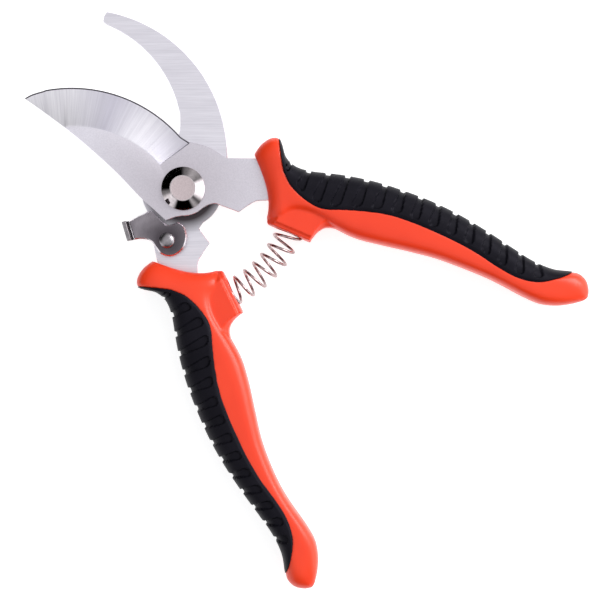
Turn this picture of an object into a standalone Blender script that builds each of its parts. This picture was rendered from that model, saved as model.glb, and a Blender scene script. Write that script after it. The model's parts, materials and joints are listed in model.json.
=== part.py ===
"""Bypass pruning shears, lying on one side with the blades open.

Two halves cross at the pivot bolt. The cutting half is the ground cutting blade with its
handle, and the counter half is the hooked counter blade with its handle, the latch and the
return spring. Each half is drawn as it stands when the shears are shut, in its own frame:
x across the tool, y towards the blade tips, with the pivot axis at the origin. Two empties
on the pivot axis then turn the halves apart. In the finished frame +Y points to the blade
tips, +Z is up and z = 0 is the surface that the shears lie on.

Plan points are (x, y) in millimetres. Handle points are (s, d): s runs from the pivot along
the plane where the handles meet when shut, and d is the distance from that plane.
"""

import math

import bmesh
import bpy
from mathutils import Vector

MM = 0.001  # metres in a millimetre
GAP = 0.3  # between pieces that touch

# Driving dimensions, in millimetres and degrees
OPEN_ANGLE = 41.0  # between the halves, as stored
PLATE = 3.0  # thickness of both blades
COUNTER_Z = 5.85  # underside of the counter blade
CUTTING_Z = COUNTER_Z + PLATE + GAP  # underside of the cutting blade
MID_Z = 9.0  # middle of the handles
SHANK_R = 4.0  # pivot bolt
SHANK_CHAMFER = 0.35
HEAD_BASE_R = 7.6
HEAD_TOP_R = 4.65
HEAD_HEIGHT = 3.4
HEAD_LAND = 0.7  # height of the upright rim under the head's cone
WASHER_R, WASHER_T = 8.0, 1.05
SPLIT_R, SPLIT_T = 7.0, 0.9  # spring washer
NUT_ACROSS = 13.0  # across its flats
RIVET_R = 2.0
RIVET_AT = (-13.0, -13.8)  # latch pivot, on the counter half
RIVET_HEAD_R = 2.6
RIVET_RIM, RIVET_DOME = 0.2, 1.4  # heights of the head's rim and of its dome
RIVET_TAIL_R, RIVET_TAIL_T = 3.0, 0.9
LATCH_T = 2.0
LATCH_Z = 10.05
LATCH_WASHER_R = 3.6
TAB_TOP = 17.0
SPRING_PATH_R = 40.0  # the spring bends round the pivot axis
SPRING_COIL_R = 4.55
SPRING_WIRE_R = 0.5
POCKET_R = 5.5
POCKET_DEPTH = 13.2  # degrees round the pivot
GRIP_T = 2.6  # thickness of the soft grip
BOSS_FACE_D = 0.15  # boss face, from the plane where the handles meet
BOSS_HALF, LIP_HALF = 7.4, 6.6  # half thickness of the spring housing and of its stepped lip
TANG_CLEAR = GAP + 0.05  # round a tang, inside its handle

# The handle's rungs, from its front face to its tail:
# outer (s, d), inner (s, d), width of the grip, half thickness, squareness of the section
RUNGS = [
    ((18.0, 20.8), (30.7, 1.8), 10.4, 5.6, 5.0),
    ((18.9, 24.8), (32.4, 1.8), 10.4, 7.5, 4.6),
    ((21.0, 28.1), (34.2, 2.0), 10.4, 8.5, 4.2),
    ((23.6, 29.3), (36.0, 3.1), 10.4, 8.8, 3.8),
    ((25.8, 27.6), (37.4, 5.4), 10.4, 8.9, 3.5),
    ((29.0, 23.9), (39.2, 7.6), 10.2, 9.0, 3.3),
    ((33.5, 22.3), (42.5, 8.9), 11.1, 9.0, 3.1),
    ((39.0, 22.9), (46.0, 9.2), 12.1, 9.0, 3.0),
    ((45.0, 24.7), (50.2, 8.7), 12.8, 9.0, 2.9),
    ((52.0, 26.6), (55.5, 8.0), 12.2, 9.0, 2.8),
    ((61.0, 28.3), (62.5, 7.8), 11.1, 9.0, 2.8),
    ((71.0, 29.3), (71.0, 9.1), 9.8, 9.0, 2.8),
    ((82.0, 29.7), (81.0, 11.2), 9.5, 9.0, 2.8),
    ((93.0, 29.1), (91.0, 13.1), 8.9, 8.9, 2.8),
    ((104.0, 27.6), (101.0, 13.9), 8.3, 8.8, 2.8),
    ((114.0, 25.8), (110.0, 14.0), 8.4, 8.7, 2.8),
    ((122.0, 24.5), (117.0, 13.4), 8.1, 8.7, 2.8),
    ((129.5, 24.6), (121.5, 12.8), 7.9, 8.6, 2.8),
    ((135.6, 26.3), (126.0, 12.3), 6.2, 8.4, 2.8),
    ((139.0, 27.0), (131.0, 12.2), 5.6, 8.0, 2.8),
    ((142.2, 25.9), (136.0, 13.6), 4.6, 7.2, 2.6),
    ((144.4, 23.2), (140.3, 15.9), 3.0, 5.9, 2.4),
    ((145.2, 20.6), (143.4, 18.2), 1.2, 4.2, 2.2),
]
GRIP_FROM, GRIP_TO = 4.0, 18.0  # rungs that the grip spans
GRIP_PLACES = [GRIP_FROM + (GRIP_TO - GRIP_FROM) * k / 22 for k in range(23)]
GRIP_STEPS = 6  # points across the grip's section, on each side of its middle
FRONT_STEP, TAIL_STEP = (0.16, 0.13), (0.05, 0.08)  # rungs from the grip's ends to each step's edges
GRIP_FOLLOWS = 0.4  # share of the waist's shift that the grip's width takes up
WALL_LEAN = 0.25  # lean of the step in the handle that the grip's lip butts against
FRONT_BOW = 2.1  # hollow of the front face
BOW_SKEW = 0.75  # moves the deepest place of that hollow towards the inner end
WAIST_SHIFT = 1.0  # the counter handle is cut in more behind the fingers, the other less
INNER_SQUARE, SQUARE_TO = 4.6, 18.0  # squareness of the inner side, up to that rung

# Plan outlines, shut. The edge of the cutting blade and the hook are arcs.
EDGE_CENTRE, EDGE_R = (-29.5, 30.2), 50.9
BEVEL_CENTRE, BEVEL_R = (-30.8, 28.1), 39.1
BEVEL_START = (3.4, 46.4)  # where the grind leaves the spine
BLADE_TIP = (7.3, 63.9)
TIP_CURVE = [BLADE_TIP, (9.7, 62.0), (12.9, 58.2)]  # the edge, from the tip to its arc
BLADE_HEEL = (15.8, 4.7)
BLADE_CORNER = (-12.6, 1.3)
HOOK_OUTER_CENTRE, HOOK_OUTER_R = (-27.9, 26.2), 51.8
HOOK_INNER_CENTRE, HOOK_INNER_R = (-31.5, 35.3), 43.25
BLADE_EYE_R = 9.5  # round the bolt, on the cutting blade
BOSS_R, BOSS_LEFT_R = 13.4, 15.0  # round the bolt, on the counter blade
EDGE_LAND = 0.25  # thickness left at the cutting edge
HEEL_RUN, HEEL_SLANT = 0.9, 0.12  # length of the slope where the grind ends, and its lean
BORE_TOP, BORE_FOOT = 20.0, -2.0  # the drills' ends, above and below everything

# The tang inside a handle, (s, d): outer side going in, inner side coming out
TANG_OUTER = [(18.7, 19.5), (24.0, 19.8), (30.0, 19.2), (40.0, 18.3), (72.0, 17.6)]
TANG_END = [(75.5, 16.9), (75.5, 14.9)]
TANG_INNER = [(72.0, 14.2), (50.0, 12.8), (38.0, 12.0), (33.0, 10.5)]
TANG_NECK = [(28.8, 7.9), (25.2, 6.1), (22.9, 3.3)]
COUNTER_NECK = [(28.8, 8.6), (25.2, 6.7), (22.9, 3.5)]
TANG_CORNER = (21.0, 0.1)


# ---- plan geometry ----


def polar(centre, radius, degrees):
    turn = math.radians(degrees)
    return (centre[0] + radius * math.cos(turn), centre[1] + radius * math.sin(turn))


def arc(centre, radius, start, end, steps):
    """Points on an arc from start to end degrees, both ends included."""
    return [
        polar(centre, radius, start + (end - start) * i / steps) for i in range(steps + 1)
    ]


def angle_at(centre, point):
    return math.degrees(math.atan2(point[1] - centre[1], point[0] - centre[0]))


def catmull(a, b, c, d, t):
    """The value at t between b and c on the curve through a, b, c and d."""
    return 0.5 * (
        2 * b + (c - a) * t + (2 * a - 5 * b + 4 * c - d) * t**2
        + (3 * b - a - 3 * c + d) * t**3
    )


def along(values, q):
    """The smooth curve through values, read at the fractional index q."""
    i = min(int(q), len(values) - 2)
    first, last = 2 * values[0] - values[1], 2 * values[-1] - values[-2]
    padded = [first, *values, last]
    return catmull(*padded[i : i + 4], q - i)


def spline(points, steps):
    """A smooth line through the points, with that many steps between each two."""
    xs, ys = [p[0] for p in points], [p[1] for p in points]
    count = (len(points) - 1) * steps
    return [(along(xs, i / steps), along(ys, i / steps)) for i in range(count + 1)]


def resampled(line, steps):
    """The line cut into equal lengths."""
    lengths = [0.0]
    for a, b in zip(line, line[1:]):
        lengths.append(lengths[-1] + math.dist(a, b))
    found = []
    for i in range(steps + 1):
        wanted = lengths[-1] * i / steps
        k = min(sum(length < wanted for length in lengths), len(line) - 1)
        k = max(k, 1)
        part = (wanted - lengths[k - 1]) / (lengths[k] - lengths[k - 1])
        a, b = line[k - 1], line[k]
        found.append((a[0] + (b[0] - a[0]) * part, a[1] + (b[1] - a[1]) * part))
    return found


def handle_point(side, point):
    """(s, d) of a handle as (x, y) of its half; side is 1 on the cutting half, -1 on the other."""
    return (side * point[1], -point[0])


def tang_outline(side, clearance=0.0):
    """The tang from the handle's mouth to its end and back, grown by clearance on each side."""
    outer = [(s, d + clearance) for s, d in TANG_OUTER]
    end = [(s + clearance, d) for s, d in TANG_END]
    inner = [(s, d - clearance) for s, d in TANG_INNER]
    return [handle_point(side, p) for p in outer + end + inner]


# ---- objects ----


def clear_scene():
    for obj in list(bpy.data.objects):
        bpy.data.objects.remove(obj, do_unlink=True)


def material(name, colour, roughness, metallic):
    made = bpy.data.materials.new(name)
    made.use_nodes = True
    shader = made.node_tree.nodes["Principled BSDF"]
    shader.inputs["Base Color"].default_value = (*colour, 1.0)
    shader.inputs["Roughness"].default_value = roughness
    shader.inputs["Metallic"].default_value = metallic
    return made


def add_object(name, bm, parent=None, look=None, location=(0, 0), crease=35):
    """The bmesh, in millimetres, as an object that faces outwards."""
    bmesh.ops.recalc_face_normals(bm, faces=bm.faces)
    bmesh.ops.scale(bm, vec=Vector((MM, MM, MM)), verts=bm.verts)
    mesh = bpy.data.meshes.new(name)
    bm.to_mesh(mesh)
    bm.free()
    mesh.shade_smooth()
    mesh.set_sharp_from_angle(angle=math.radians(crease))
    if look:
        mesh.materials.append(look)
    obj = bpy.data.objects.new(name, mesh)
    bpy.context.scene.collection.objects.link(obj)
    obj.parent = parent
    obj.location = (location[0] * MM, location[1] * MM, 0)
    return obj


def add_cutter(name, bm, parent=None, location=(0, 0)):
    obj = add_object(name, bm, parent, location=location)
    obj.hide_render = True
    obj.display_type = "WIRE"
    return obj


def add_boolean(obj, other, operation):
    modifier = obj.modifiers.new(other.name, "BOOLEAN")
    modifier.operation = operation
    modifier.object = other
    modifier.solver = "EXACT"


def half_empty(name, degrees):
    empty = bpy.data.objects.new(name, None)
    bpy.context.scene.collection.objects.link(empty)
    empty.rotation_euler = (0, 0, math.radians(degrees))
    return empty


def bridge(bm, first, second):
    """Faces between two closed loops of as many points."""
    count = len(first)
    for k in range(count):
        n = (k + 1) % count
        bm.faces.new((first[k], first[n], second[n], second[k]))


def prism(outline, low, high):
    """A plan outline between two heights."""
    bm = bmesh.new()
    under = [bm.verts.new((x, y, low)) for x, y in outline]
    over = [bm.verts.new((x, y, high)) for x, y in outline]
    bm.faces.new(under)
    bm.faces.new(over)
    bridge(bm, under, over)
    return bm


def lathe(profile, segments):
    """A profile of (radius, z), from the axis at the top to the axis at the bottom, turned."""
    bm = bmesh.new()
    rings = []
    for radius, z in profile:
        if radius == 0:
            rings.append([bm.verts.new((0, 0, z))] * segments)
            continue
        turns = [polar((0, 0), radius, 360 * k / segments) for k in range(segments)]
        rings.append([bm.verts.new((x, y, z)) for x, y in turns])
    for upper, lower in zip(rings, rings[1:]):
        for k in range(segments):
            n = (k + 1) % segments
            corners = (upper[k], lower[k], lower[n], upper[n])
            bm.faces.new(dict.fromkeys(corners))
    return bm


def ring(inner, outer, low, high, segments):
    """A washer, with its edges broken a little."""
    chamfer = 0.15
    profile = [
        (inner, high),
        (outer - chamfer, high),
        (outer, high - chamfer),
        (outer, low + chamfer),
        (outer - chamfer, low),
        (inner, low),
    ]
    bm = bmesh.new()
    rings = []
    for radius, z in profile:
        turns = [polar((0, 0), radius, 360 * k / segments) for k in range(segments)]
        rings.append([bm.verts.new((x, y, z)) for x, y in turns])
    for upper, lower in zip(rings, [*rings[1:], rings[0]]):
        for k in range(segments):
            n = (k + 1) % segments
            bm.faces.new((upper[k], lower[k], lower[n], upper[n]))
    return bm


def bore(name, radius, centre, parent):
    """A cutter through everything that lies on one axis."""
    profile = [(0, BORE_TOP), (radius, BORE_TOP), (radius, BORE_FOOT), (0, BORE_FOOT)]
    bm = lathe(profile, 40)
    return add_cutter(name, bm, parent, centre)


# ---- blades ----


def cutting_plan():
    """(edge, back, rest): the ground edge from tip to heel, the line where the grind ends, and
    the rest of the outline from the heel round to BEVEL_START."""
    start = angle_at(EDGE_CENTRE, TIP_CURVE[-1])
    split = angle_at(EDGE_CENTRE, BEVEL_START)
    end = angle_at(EDGE_CENTRE, (16.5, 8.1))
    tip_edge = [*spline(TIP_CURVE, 3)[:-1], *arc(EDGE_CENTRE, EDGE_R, start, split, 8)]
    main_edge = [*arc(EDGE_CENTRE, EDGE_R, split, end, 24), (16.0, 5.9), BLADE_HEEL]
    spine = spline([BLADE_CORNER, (-9.0, 11.8), (-3.7, 24.4), (0.8, 37.5), BEVEL_START], 4)
    nose = spline([BEVEL_START, (5.75, 56.4), BLADE_TIP], 4)[::-1]
    grind = arc(
        BEVEL_CENTRE,
        BEVEL_R,
        angle_at(BEVEL_CENTRE, BEVEL_START),
        angle_at(BEVEL_CENTRE, (4.4, 10.9)),
        24,
    )
    edge = resampled(tip_edge, 5) + resampled(main_edge, 14)[1:]
    back = resampled(nose, 5) + resampled(grind, 14)[1:]
    shoulder = spline([BLADE_HEEL, (16.8, -2.4), (15.9, -9.9)], 3)[1:]
    neck = [handle_point(1, p) for p in TANG_NECK]
    corner = handle_point(1, TANG_CORNER)
    fillet = [(-0.2, -15.0), (-0.4, -12.2), (-1.8, -10.2)]
    eye = arc((0, 0), BLADE_EYE_R, -113, -160, 5)
    rest = [*shoulder, *tang_outline(1), *neck, corner, *fillet, *eye, (-10.2, -1.3), *spine[:-1]]
    return edge, back, rest


def cutting_blade_mesh():
    """A plate, hollow ground on its upper face down to the edge, so the cut is close to the hook."""
    edge, back, rest = cutting_plan()
    low, high = CUTTING_Z, CUTTING_Z + PLATE
    full_rows = 5  # rows before this one lie in the narrow nose, where the grind isn't full depth
    full_width = math.dist(edge[full_rows], back[full_rows])
    across = [0, 0.3, 0.6, 0.82, 1]
    bm = bmesh.new()
    rows = [[bm.verts.new((*BLADE_TIP, low + EDGE_LAND))] * len(across)]
    for i in range(1, len(edge)):
        (ex, ey), (bx, by) = edge[i], back[i]
        depth = min(1, math.dist(edge[i], back[i]) / full_width)
        if i >= full_rows:
            depth = 1
        row = []
        for f in across:
            z = low + EDGE_LAND + (PLATE - EDGE_LAND) * (f * depth) ** 1.5
            row.append(bm.verts.new((ex + (bx - ex) * f, ey + (by - ey) * f, z)))
        rows.append(row)
    for first, second in zip(rows, rows[1:]):
        for k in range(len(across) - 1):
            corners = (first[k], second[k], second[k + 1], first[k + 1])
            bm.faces.new(dict.fromkeys(corners))
    # The short slope at the heel, where the grinding wheel stopped
    heel = rows[-1]
    wall = [heel[-1]]
    for f, vert in list(zip(across, heel))[-2::-1]:
        run = HEEL_RUN * (1 - f)
        wall.append(bm.verts.new((vert.co.x + HEEL_SLANT * run, vert.co.y - run, high)))
    for k in range(len(heel) - 1):
        lower = (heel[-1 - k], heel[-2 - k])
        bm.faces.new(dict.fromkeys((*lower, wall[k + 1], wall[k])))
    # The flat upper face, the flat underside and the sides
    rest_high = [bm.verts.new((x, y, high)) for x, y in rest]
    flat = [row[-1] for row in rows[full_rows:]] + wall[1:] + rest_high
    bm.faces.new(flat)
    upper = [row[0] for row in rows] + [wall[-1]] + rest_high
    upper += [row[-1] for row in rows[full_rows:0:-1]]
    under = [bm.verts.new((v.co.x, v.co.y, low)) for v in upper]
    bm.faces.new(under)
    bridge(bm, upper, under)
    return bm


def counter_plan():
    outer = arc(
        HOOK_OUTER_CENTRE,
        HOOK_OUTER_R,
        angle_at(HOOK_OUTER_CENTRE, (18.4, 2.9)),
        angle_at(HOOK_OUTER_CENTRE, (2.7, 67.6)),
        22,
    )
    tip = [(1.2, 66.8), (0.2, 65.3), (0.7, 64.2)]
    inner = arc(
        HOOK_INNER_CENTRE,
        HOOK_INNER_R,
        angle_at(HOOK_INNER_CENTRE, (2.8, 61.7)),
        angle_at(HOOK_INNER_CENTRE, (10.4, 24.3)),
        18,
    )
    gullet = spline([(10.4, 24.3), (7.3, 18.7), (1.5, 15.2), (-5.3, 13.3)], 3)[1:]
    boss_left = arc((0, 0), BOSS_LEFT_R, 118, 184, 6)
    tang = [handle_point(-1, (16.1, 18.9)), *tang_outline(-1)]
    neck = [handle_point(-1, p) for p in COUNTER_NECK]
    corner = handle_point(-1, TANG_CORNER)
    boss_right = arc((0, 0), BOSS_R, -86, -30, 7)
    fillet = [(-1.0, -16.4), (-1.2, -14.6)]
    blade = [*outer, *tip, *inner, *gullet, *boss_left]
    return [*blade, *tang, *neck, corner, *fillet, *boss_right]


def make_blades(halves, looks):
    cutting = add_object("cutting_blade", cutting_blade_mesh(), halves[1], looks["steel"])
    plate = prism(counter_plan(), COUNTER_Z, COUNTER_Z + PLATE)
    counter = add_object("counter_blade", plate, halves[-1], looks["steel"])
    pivot_bore = bore("pivot_bore", SHANK_R + GAP, (0, 0), None)
    rivet_bore = bore("rivet_bore", RIVET_R + GAP, RIVET_AT, halves[-1])
    add_boolean(cutting, pivot_bore, "DIFFERENCE")
    add_boolean(counter, pivot_bore, "DIFFERENCE")
    add_boolean(counter, rivet_bore, "DIFFERENCE")
    return rivet_bore


# ---- pivot ----


def make_pivot(parent, looks):
    """Bolt, plain washer, split washer and thin nut, stacked on the pivot axis."""
    seat = CUTTING_Z + PLATE + GAP
    profile = [
        (0, seat + HEAD_HEIGHT),
        (HEAD_TOP_R, seat + HEAD_HEIGHT),
        (HEAD_BASE_R, seat + HEAD_LAND),
        (HEAD_BASE_R, seat),
        (SHANK_R, seat),
        (SHANK_R, SHANK_CHAMFER),
        (SHANK_R - SHANK_CHAMFER, 0),
        (0, 0),
    ]
    add_object("pivot_bolt", lathe(profile, 48), parent, looks["chrome"])
    washer_top = COUNTER_Z - GAP
    washer = ring(SHANK_R + GAP, WASHER_R, washer_top - WASHER_T, washer_top, 40)
    add_object("pivot_washer", washer, parent, looks["zinc"])
    split_top = washer_top - WASHER_T - GAP
    split = split_ring(SHANK_R + GAP, SPLIT_R, split_top - SPLIT_T, split_top)
    add_object("spring_washer", split, parent, looks["zinc"])
    nut = nut_mesh(split_top - SPLIT_T - GAP)
    add_object("pivot_nut", nut, parent, looks["zinc"])


def split_ring(inner, outer, low, high):
    """A washer cut through at one place."""
    first, last, steps = 4.0, 356.0, 40
    outside = arc((0, 0), outer, first, last, steps)
    inside = arc((0, 0), inner, last, first, steps)
    return prism(outside + inside, low, high)


def nut_mesh(top):
    """A thin hexagon nut with rounded corners and a clear bore."""
    rounding, corner_keep = 0.09, 0.965  # share of a flat that a corner takes, and of its radius left
    corner_r = NUT_ACROSS / 2 / math.cos(math.radians(30))
    hexagon = [polar((0, 0), corner_r, 60 * k) for k in range(6)]
    outline = []
    for k in range(6):
        here, before, after = hexagon[k], hexagon[k - 1], hexagon[(k + 1) % 6]
        for other, part in ((before, rounding), (here, 0), (after, rounding)):
            weight = corner_keep if other is here else 1.0
            x = here[0] * weight + (other[0] - here[0]) * part
            y = here[1] * weight + (other[1] - here[1]) * part
            outline.append((x, y))
    bm = bmesh.new()
    count = 48
    inner = [polar((0, 0), SHANK_R + GAP, 360 * k / count) for k in range(count)]
    loops = []
    for z in (0, top):
        outside = [bm.verts.new((x, y, z)) for x, y in outline]
        inside = [bm.verts.new((x, y, z)) for x, y in inner]
        loops.append((outside, inside))
        edges = []
        for loop in (outside, inside):
            for i, vert in enumerate(loop):
                edges.append(bm.edges.new((vert, loop[(i + 1) % len(loop)])))
        bmesh.ops.triangle_fill(bm, edges=edges, use_beauty=True)
    for under, over in zip(*loops):
        bridge(bm, under, over)
    return bm


# ---- latch ----


def latch_outline():
    """Round the latch from its nose, clockwise as seen from above."""
    body = spline(
        [(-6.6, -9.7), (-5.5, -12.2), (-6.3, -15.6), (-8.8, -18.5), (-12.2, -19.6),
         (-15.0, -19.0), (-17.0, -17.0), (-17.7, -14.2), (-18.1, -11.9), (-19.4, -10.3),
         (-21.5, -9.1), (-23.3, -8.5)],
        2,
    )
    fold = [(-22.2, -1.8), (-14.1, -1.75), (-13.5, -2.0), (-13.1, -2.8)]
    notch = spline([(-10.9, -8.4), (-10.1, -9.2), (-8.4, -9.6), (-7.2, -9.4)], 2)
    return body + fold + notch


def relative(points, origin):
    return [(x - origin[0], y - origin[1]) for x, y in points]


def make_latch(half, looks, rivet_bore):
    """A stamped lever on the counter blade: flat plate with a tab folded up at its end."""
    plate = prism(relative(latch_outline(), RIVET_AT), LATCH_Z, LATCH_Z + LATCH_T)
    latch = add_object("latch_lever", plate, half, looks["latch"], RIVET_AT)
    tab_plan = [(-22.0, -1.8), (-23.7, -1.4), (-25.0, -8.8), (-23.1, -8.5)]
    tab = prism(relative(tab_plan, RIVET_AT), LATCH_Z, TAB_TOP)
    tab_solid = add_cutter("latch_tab", tab, half, RIVET_AT)
    add_boolean(latch, tab_solid, "UNION")
    add_boolean(latch, rivet_bore, "DIFFERENCE")
    washer_low = COUNTER_Z + PLATE + GAP
    washer = ring(RIVET_R + GAP, LATCH_WASHER_R, washer_low, LATCH_Z - GAP, 28)
    add_object("latch_washer", washer, half, looks["zinc"], RIVET_AT)
    add_object("latch_rivet", lathe(rivet_profile(), 28), half, looks["latch"], RIVET_AT)


def rivet_profile():
    """A domed head above the latch, the shank, and a tail set under the counter blade."""
    head_low = LATCH_Z + LATCH_T + GAP
    rim = head_low + RIVET_RIM
    dome = [(0, rim + RIVET_DOME)]
    for k in range(1, 4):
        turn = math.radians(22.5 * k)
        dome.append((RIVET_HEAD_R * math.sin(turn), rim + RIVET_DOME * math.cos(turn)))
    head = [*dome, (RIVET_HEAD_R, rim), (RIVET_HEAD_R, head_low), (RIVET_R, head_low)]
    tail_top = COUNTER_Z - GAP
    tail_low = tail_top - RIVET_TAIL_T
    return [*head, (RIVET_R, tail_top), (RIVET_TAIL_R, tail_top), (RIVET_HEAD_R, tail_low), (0, tail_low)]


# ---- handles ----


def waist(side, s):
    """How much this handle's inner side moves in behind the fingers."""
    low, high = 66.0, 142.0
    if not low < s < high:
        return 0.0
    return -side * WAIST_SHIFT * math.sin(math.pi * (s - low) / (high - low)) ** 2


class Rung:
    """The handle's section on one plane that crosses it."""

    def __init__(self, side, q):
        self.side = side
        outer = [along([r[0][k] for r in RUNGS], q) for k in (0, 1)]
        inner = [along([r[1][k] for r in RUNGS], q) for k in (0, 1)]
        shift = waist(side, inner[0])
        inner[1] += shift
        self.inner, self.width = inner, math.dist(inner, outer)
        self.across = [(o - i) / self.width for o, i in zip(outer, inner)]
        self.grip = along([r[2] for r in RUNGS], q) - GRIP_FOLLOWS * shift
        self.half = along([r[3] for r in RUNGS], q)
        self.power = along([r[4] for r in RUNGS], q)
        self.inner_power = max(self.power, INNER_SQUARE - 0.6 * max(0, q - SQUARE_TO))
        self.bow = FRONT_BOW * max(0, 1 - q / 4)

    def height(self, x, skin=0.0):
        """Half thickness at x from the inner side, or of the body that lies skin below it."""
        v = min(1, max(0, x / (self.width - skin)))
        power = self.inner_power if v < 0.5 else self.power
        return (self.half - skin) * (1 - abs(2 * v - 1) ** power) ** (1 / power)

    def place(self, x, z):
        """The point at x across and z from the middle, in the half's frame."""
        share = min(1, max(0, x / self.width)) ** BOW_SKEW
        hollow = self.bow * math.sin(math.pi * share)
        s = self.inner[0] + self.across[0] * x + abs(self.across[1]) * hollow
        d = self.inner[1] + self.across[1] * x + abs(self.across[0]) * hollow
        return (*handle_point(self.side, (s, d)), MID_Z + z)


def mirrored(line):
    """A line of (x, z) from the middle plane up and over, closed by its mirror image below."""
    return line + [(x, -z) for x, z in line[-2:0:-1]]


def core_section(rung, skin):
    """The hard handle: its full section up to the grip, then the body that the grip covers."""
    bare_steps = 5
    edge = rung.width - rung.grip
    line = []
    for k in range(bare_steps + 1):
        x = edge * (1 - math.cos(math.pi / 2 * k / bare_steps))
        line.append((x, rung.height(x)))
    start, end = edge + WALL_LEAN, rung.width - skin
    for k in range(GRIP_STEPS + 1):
        x = start + (end - start) * math.sin(math.pi / 2 * k / GRIP_STEPS)
        line.append((x, rung.height(x, skin)))
    line[-1] = (end, 0.0)
    return mirrored(line)


def grip_lines(rung):
    """The grip's outer and inner lines, each from its upper lip round to its lower lip."""
    skin = GRIP_T - GAP
    lines = []
    for start, cover in ((GAP, 0.0), (GAP + WALL_LEAN, skin)):
        low, high = rung.width - rung.grip + start, rung.width - cover
        line = []
        for k in range(GRIP_STEPS + 1):
            x = low + (high - low) * math.sin(math.pi / 2 * k / GRIP_STEPS)
            line.append((x, rung.height(x, cover)))
        line[-1] = (high, 0.0)
        lines.append(line + [(x, -z) for x, z in line[-2::-1]])
    return lines


def core_mesh(side):
    front = [0, 0.8, 1.6, 2.4, 3.2]
    recess = [GRIP_FROM - FRONT_STEP[1], *GRIP_PLACES, GRIP_TO + TAIL_STEP[0]]
    tail = [18.6, 19.2, 19.8, 20.4, 21.0, 21.5, 22.0]
    bare = [(q, 0.0) for q in [*front, GRIP_FROM - FRONT_STEP[0]]]
    covered = [(q, GRIP_T) for q in recess]
    end = [(q, 0.0) for q in [GRIP_TO + TAIL_STEP[1], *tail]]
    bm = bmesh.new()
    loops = []
    for q, skin in bare + covered + end:
        rung = Rung(side, q)
        loops.append([bm.verts.new(rung.place(x, z)) for x, z in core_section(rung, skin)])
    for first, second in zip(loops, loops[1:]):
        bridge(bm, first, second)
    for loop in (loops[0], loops[-1]):
        half = len(loop) // 2
        for k in range(half):
            upper = (loop[k], loop[k + 1])
            under = (loop[-k - 1], loop[-k % len(loop)])
            bm.faces.new(dict.fromkeys((*upper, *under)))
    return bm


def grip_mesh(side):
    bm = bmesh.new()
    loops = []
    for q in GRIP_PLACES:
        rung = Rung(side, q)
        outer, inner = grip_lines(rung)
        loops.append([bm.verts.new(rung.place(x, z)) for x, z in outer + inner[::-1]])
    for first, second in zip(loops, loops[1:]):
        bridge(bm, first, second)
    for loop in (loops[0], loops[-1]):
        for k in range(len(loop) // 2 - 1):
            bm.faces.new((loop[k], loop[k + 1], loop[-k - 2], loop[-k - 1]))
    return bm


def boss_block(side):
    """The spring housing, a little thinner than the handle, so that the handle steps down to it."""
    rear = spline([(48.3, 1.7), (49.2, 4.6), (51.4, 7.2), (56.0, 8.6)], 3)
    outline = [(32.1, 1.7), *rear, (57.0, 11.0), (48.0, 12.2), (38.0, 11.0), (33.4, 6.0)]
    return prism([handle_point(side, p) for p in outline], MID_Z - BOSS_HALF, MID_Z + BOSS_HALF)


def boss_ledge(side):
    """The stepped lip round the boss's face, where the two handles meet."""
    outline = [(31.6, BOSS_FACE_D), (48.2, BOSS_FACE_D), (48.2, 2.6), (36.0, 4.0), (31.2, 2.0)]
    return prism([handle_point(side, p) for p in outline], MID_Z - LIP_HALF, MID_Z + LIP_HALF)


def spring_pocket(side):
    """A round hole that bends round the pivot axis, from outside the boss's face inwards."""
    sides, steps = 24, 9
    lead = 3.0  # degrees that the cutter starts outside the face
    bm = bmesh.new()
    loops = []
    for i in range(steps + 1):
        turn = math.radians(-lead + (POCKET_DEPTH + lead) * i / steps)
        loop = []
        for k in range(sides):
            out, z = polar((0, 0), POCKET_R, 360 * k / sides)
            s = (SPRING_PATH_R + out) * math.cos(turn)
            d = (SPRING_PATH_R + out) * math.sin(turn)
            loop.append(bm.verts.new((*handle_point(side, (s, d)), MID_Z + z)))
        loops.append(loop)
    for first, second in zip(loops, loops[1:]):
        bridge(bm, first, second)
    bm.faces.new(loops[0])
    bm.faces.new(loops[-1])
    return bm


def tang_slot(side):
    """What the tang needs inside the handle, with the front of the slot left open."""
    low = CUTTING_Z if side == 1 else COUNTER_Z
    outline = tang_outline(side, TANG_CLEAR)
    neck = [(s, d - TANG_CLEAR) for s, d in TANG_NECK]
    mouth = [*neck, (16.0, 6.0), (14.0, 19.5 + TANG_CLEAR)]
    outline += [handle_point(side, p) for p in mouth]
    return prism(outline, low - TANG_CLEAR, low + PLATE + TANG_CLEAR)


def make_handle(name, side, half, looks):
    core = add_object(f"{name}_handle", core_mesh(side), half, looks["plastic"])
    for part, shape in (("boss", boss_block(side)), ("ledge", boss_ledge(side))):
        add_boolean(core, add_cutter(f"{name}_{part}", shape, half), "UNION")
    for part, shape in (("pocket", spring_pocket(side)), ("slot", tang_slot(side))):
        add_boolean(core, add_cutter(f"{name}_{part}", shape, half), "DIFFERENCE")
    add_object(f"{name}_grip", grip_mesh(side), half, looks["rubber"])


# ---- spring ----


def spring_points():
    """The wire's middle line: coils that turn right-handed round a path bent about the pivot."""
    per_coil = 12
    pitch = 6.68  # degrees round the pivot
    first, last = -2.6, 6.65  # turns of the open coils, counted from one near the cutting handle
    start = -76.4  # degrees, where turn 0 lies
    closed_turns, closed_pitch = 0.8, 1.8
    count = round((last - first + 2 * closed_turns) * per_coil)
    points = []
    for i in range(count + 1):
        turn = first - closed_turns + i / per_coil
        open_turn = min(max(turn, first), last)
        degrees = start - pitch * open_turn - closed_pitch * (turn - open_turn)
        phase = 2 * math.pi * turn
        radius = SPRING_PATH_R + SPRING_COIL_R * math.cos(phase)
        x, y = polar((0, 0), radius, degrees)
        points.append((x * MM, y * MM, (MID_Z + SPRING_COIL_R * math.sin(phase)) * MM))
    return points


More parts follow.
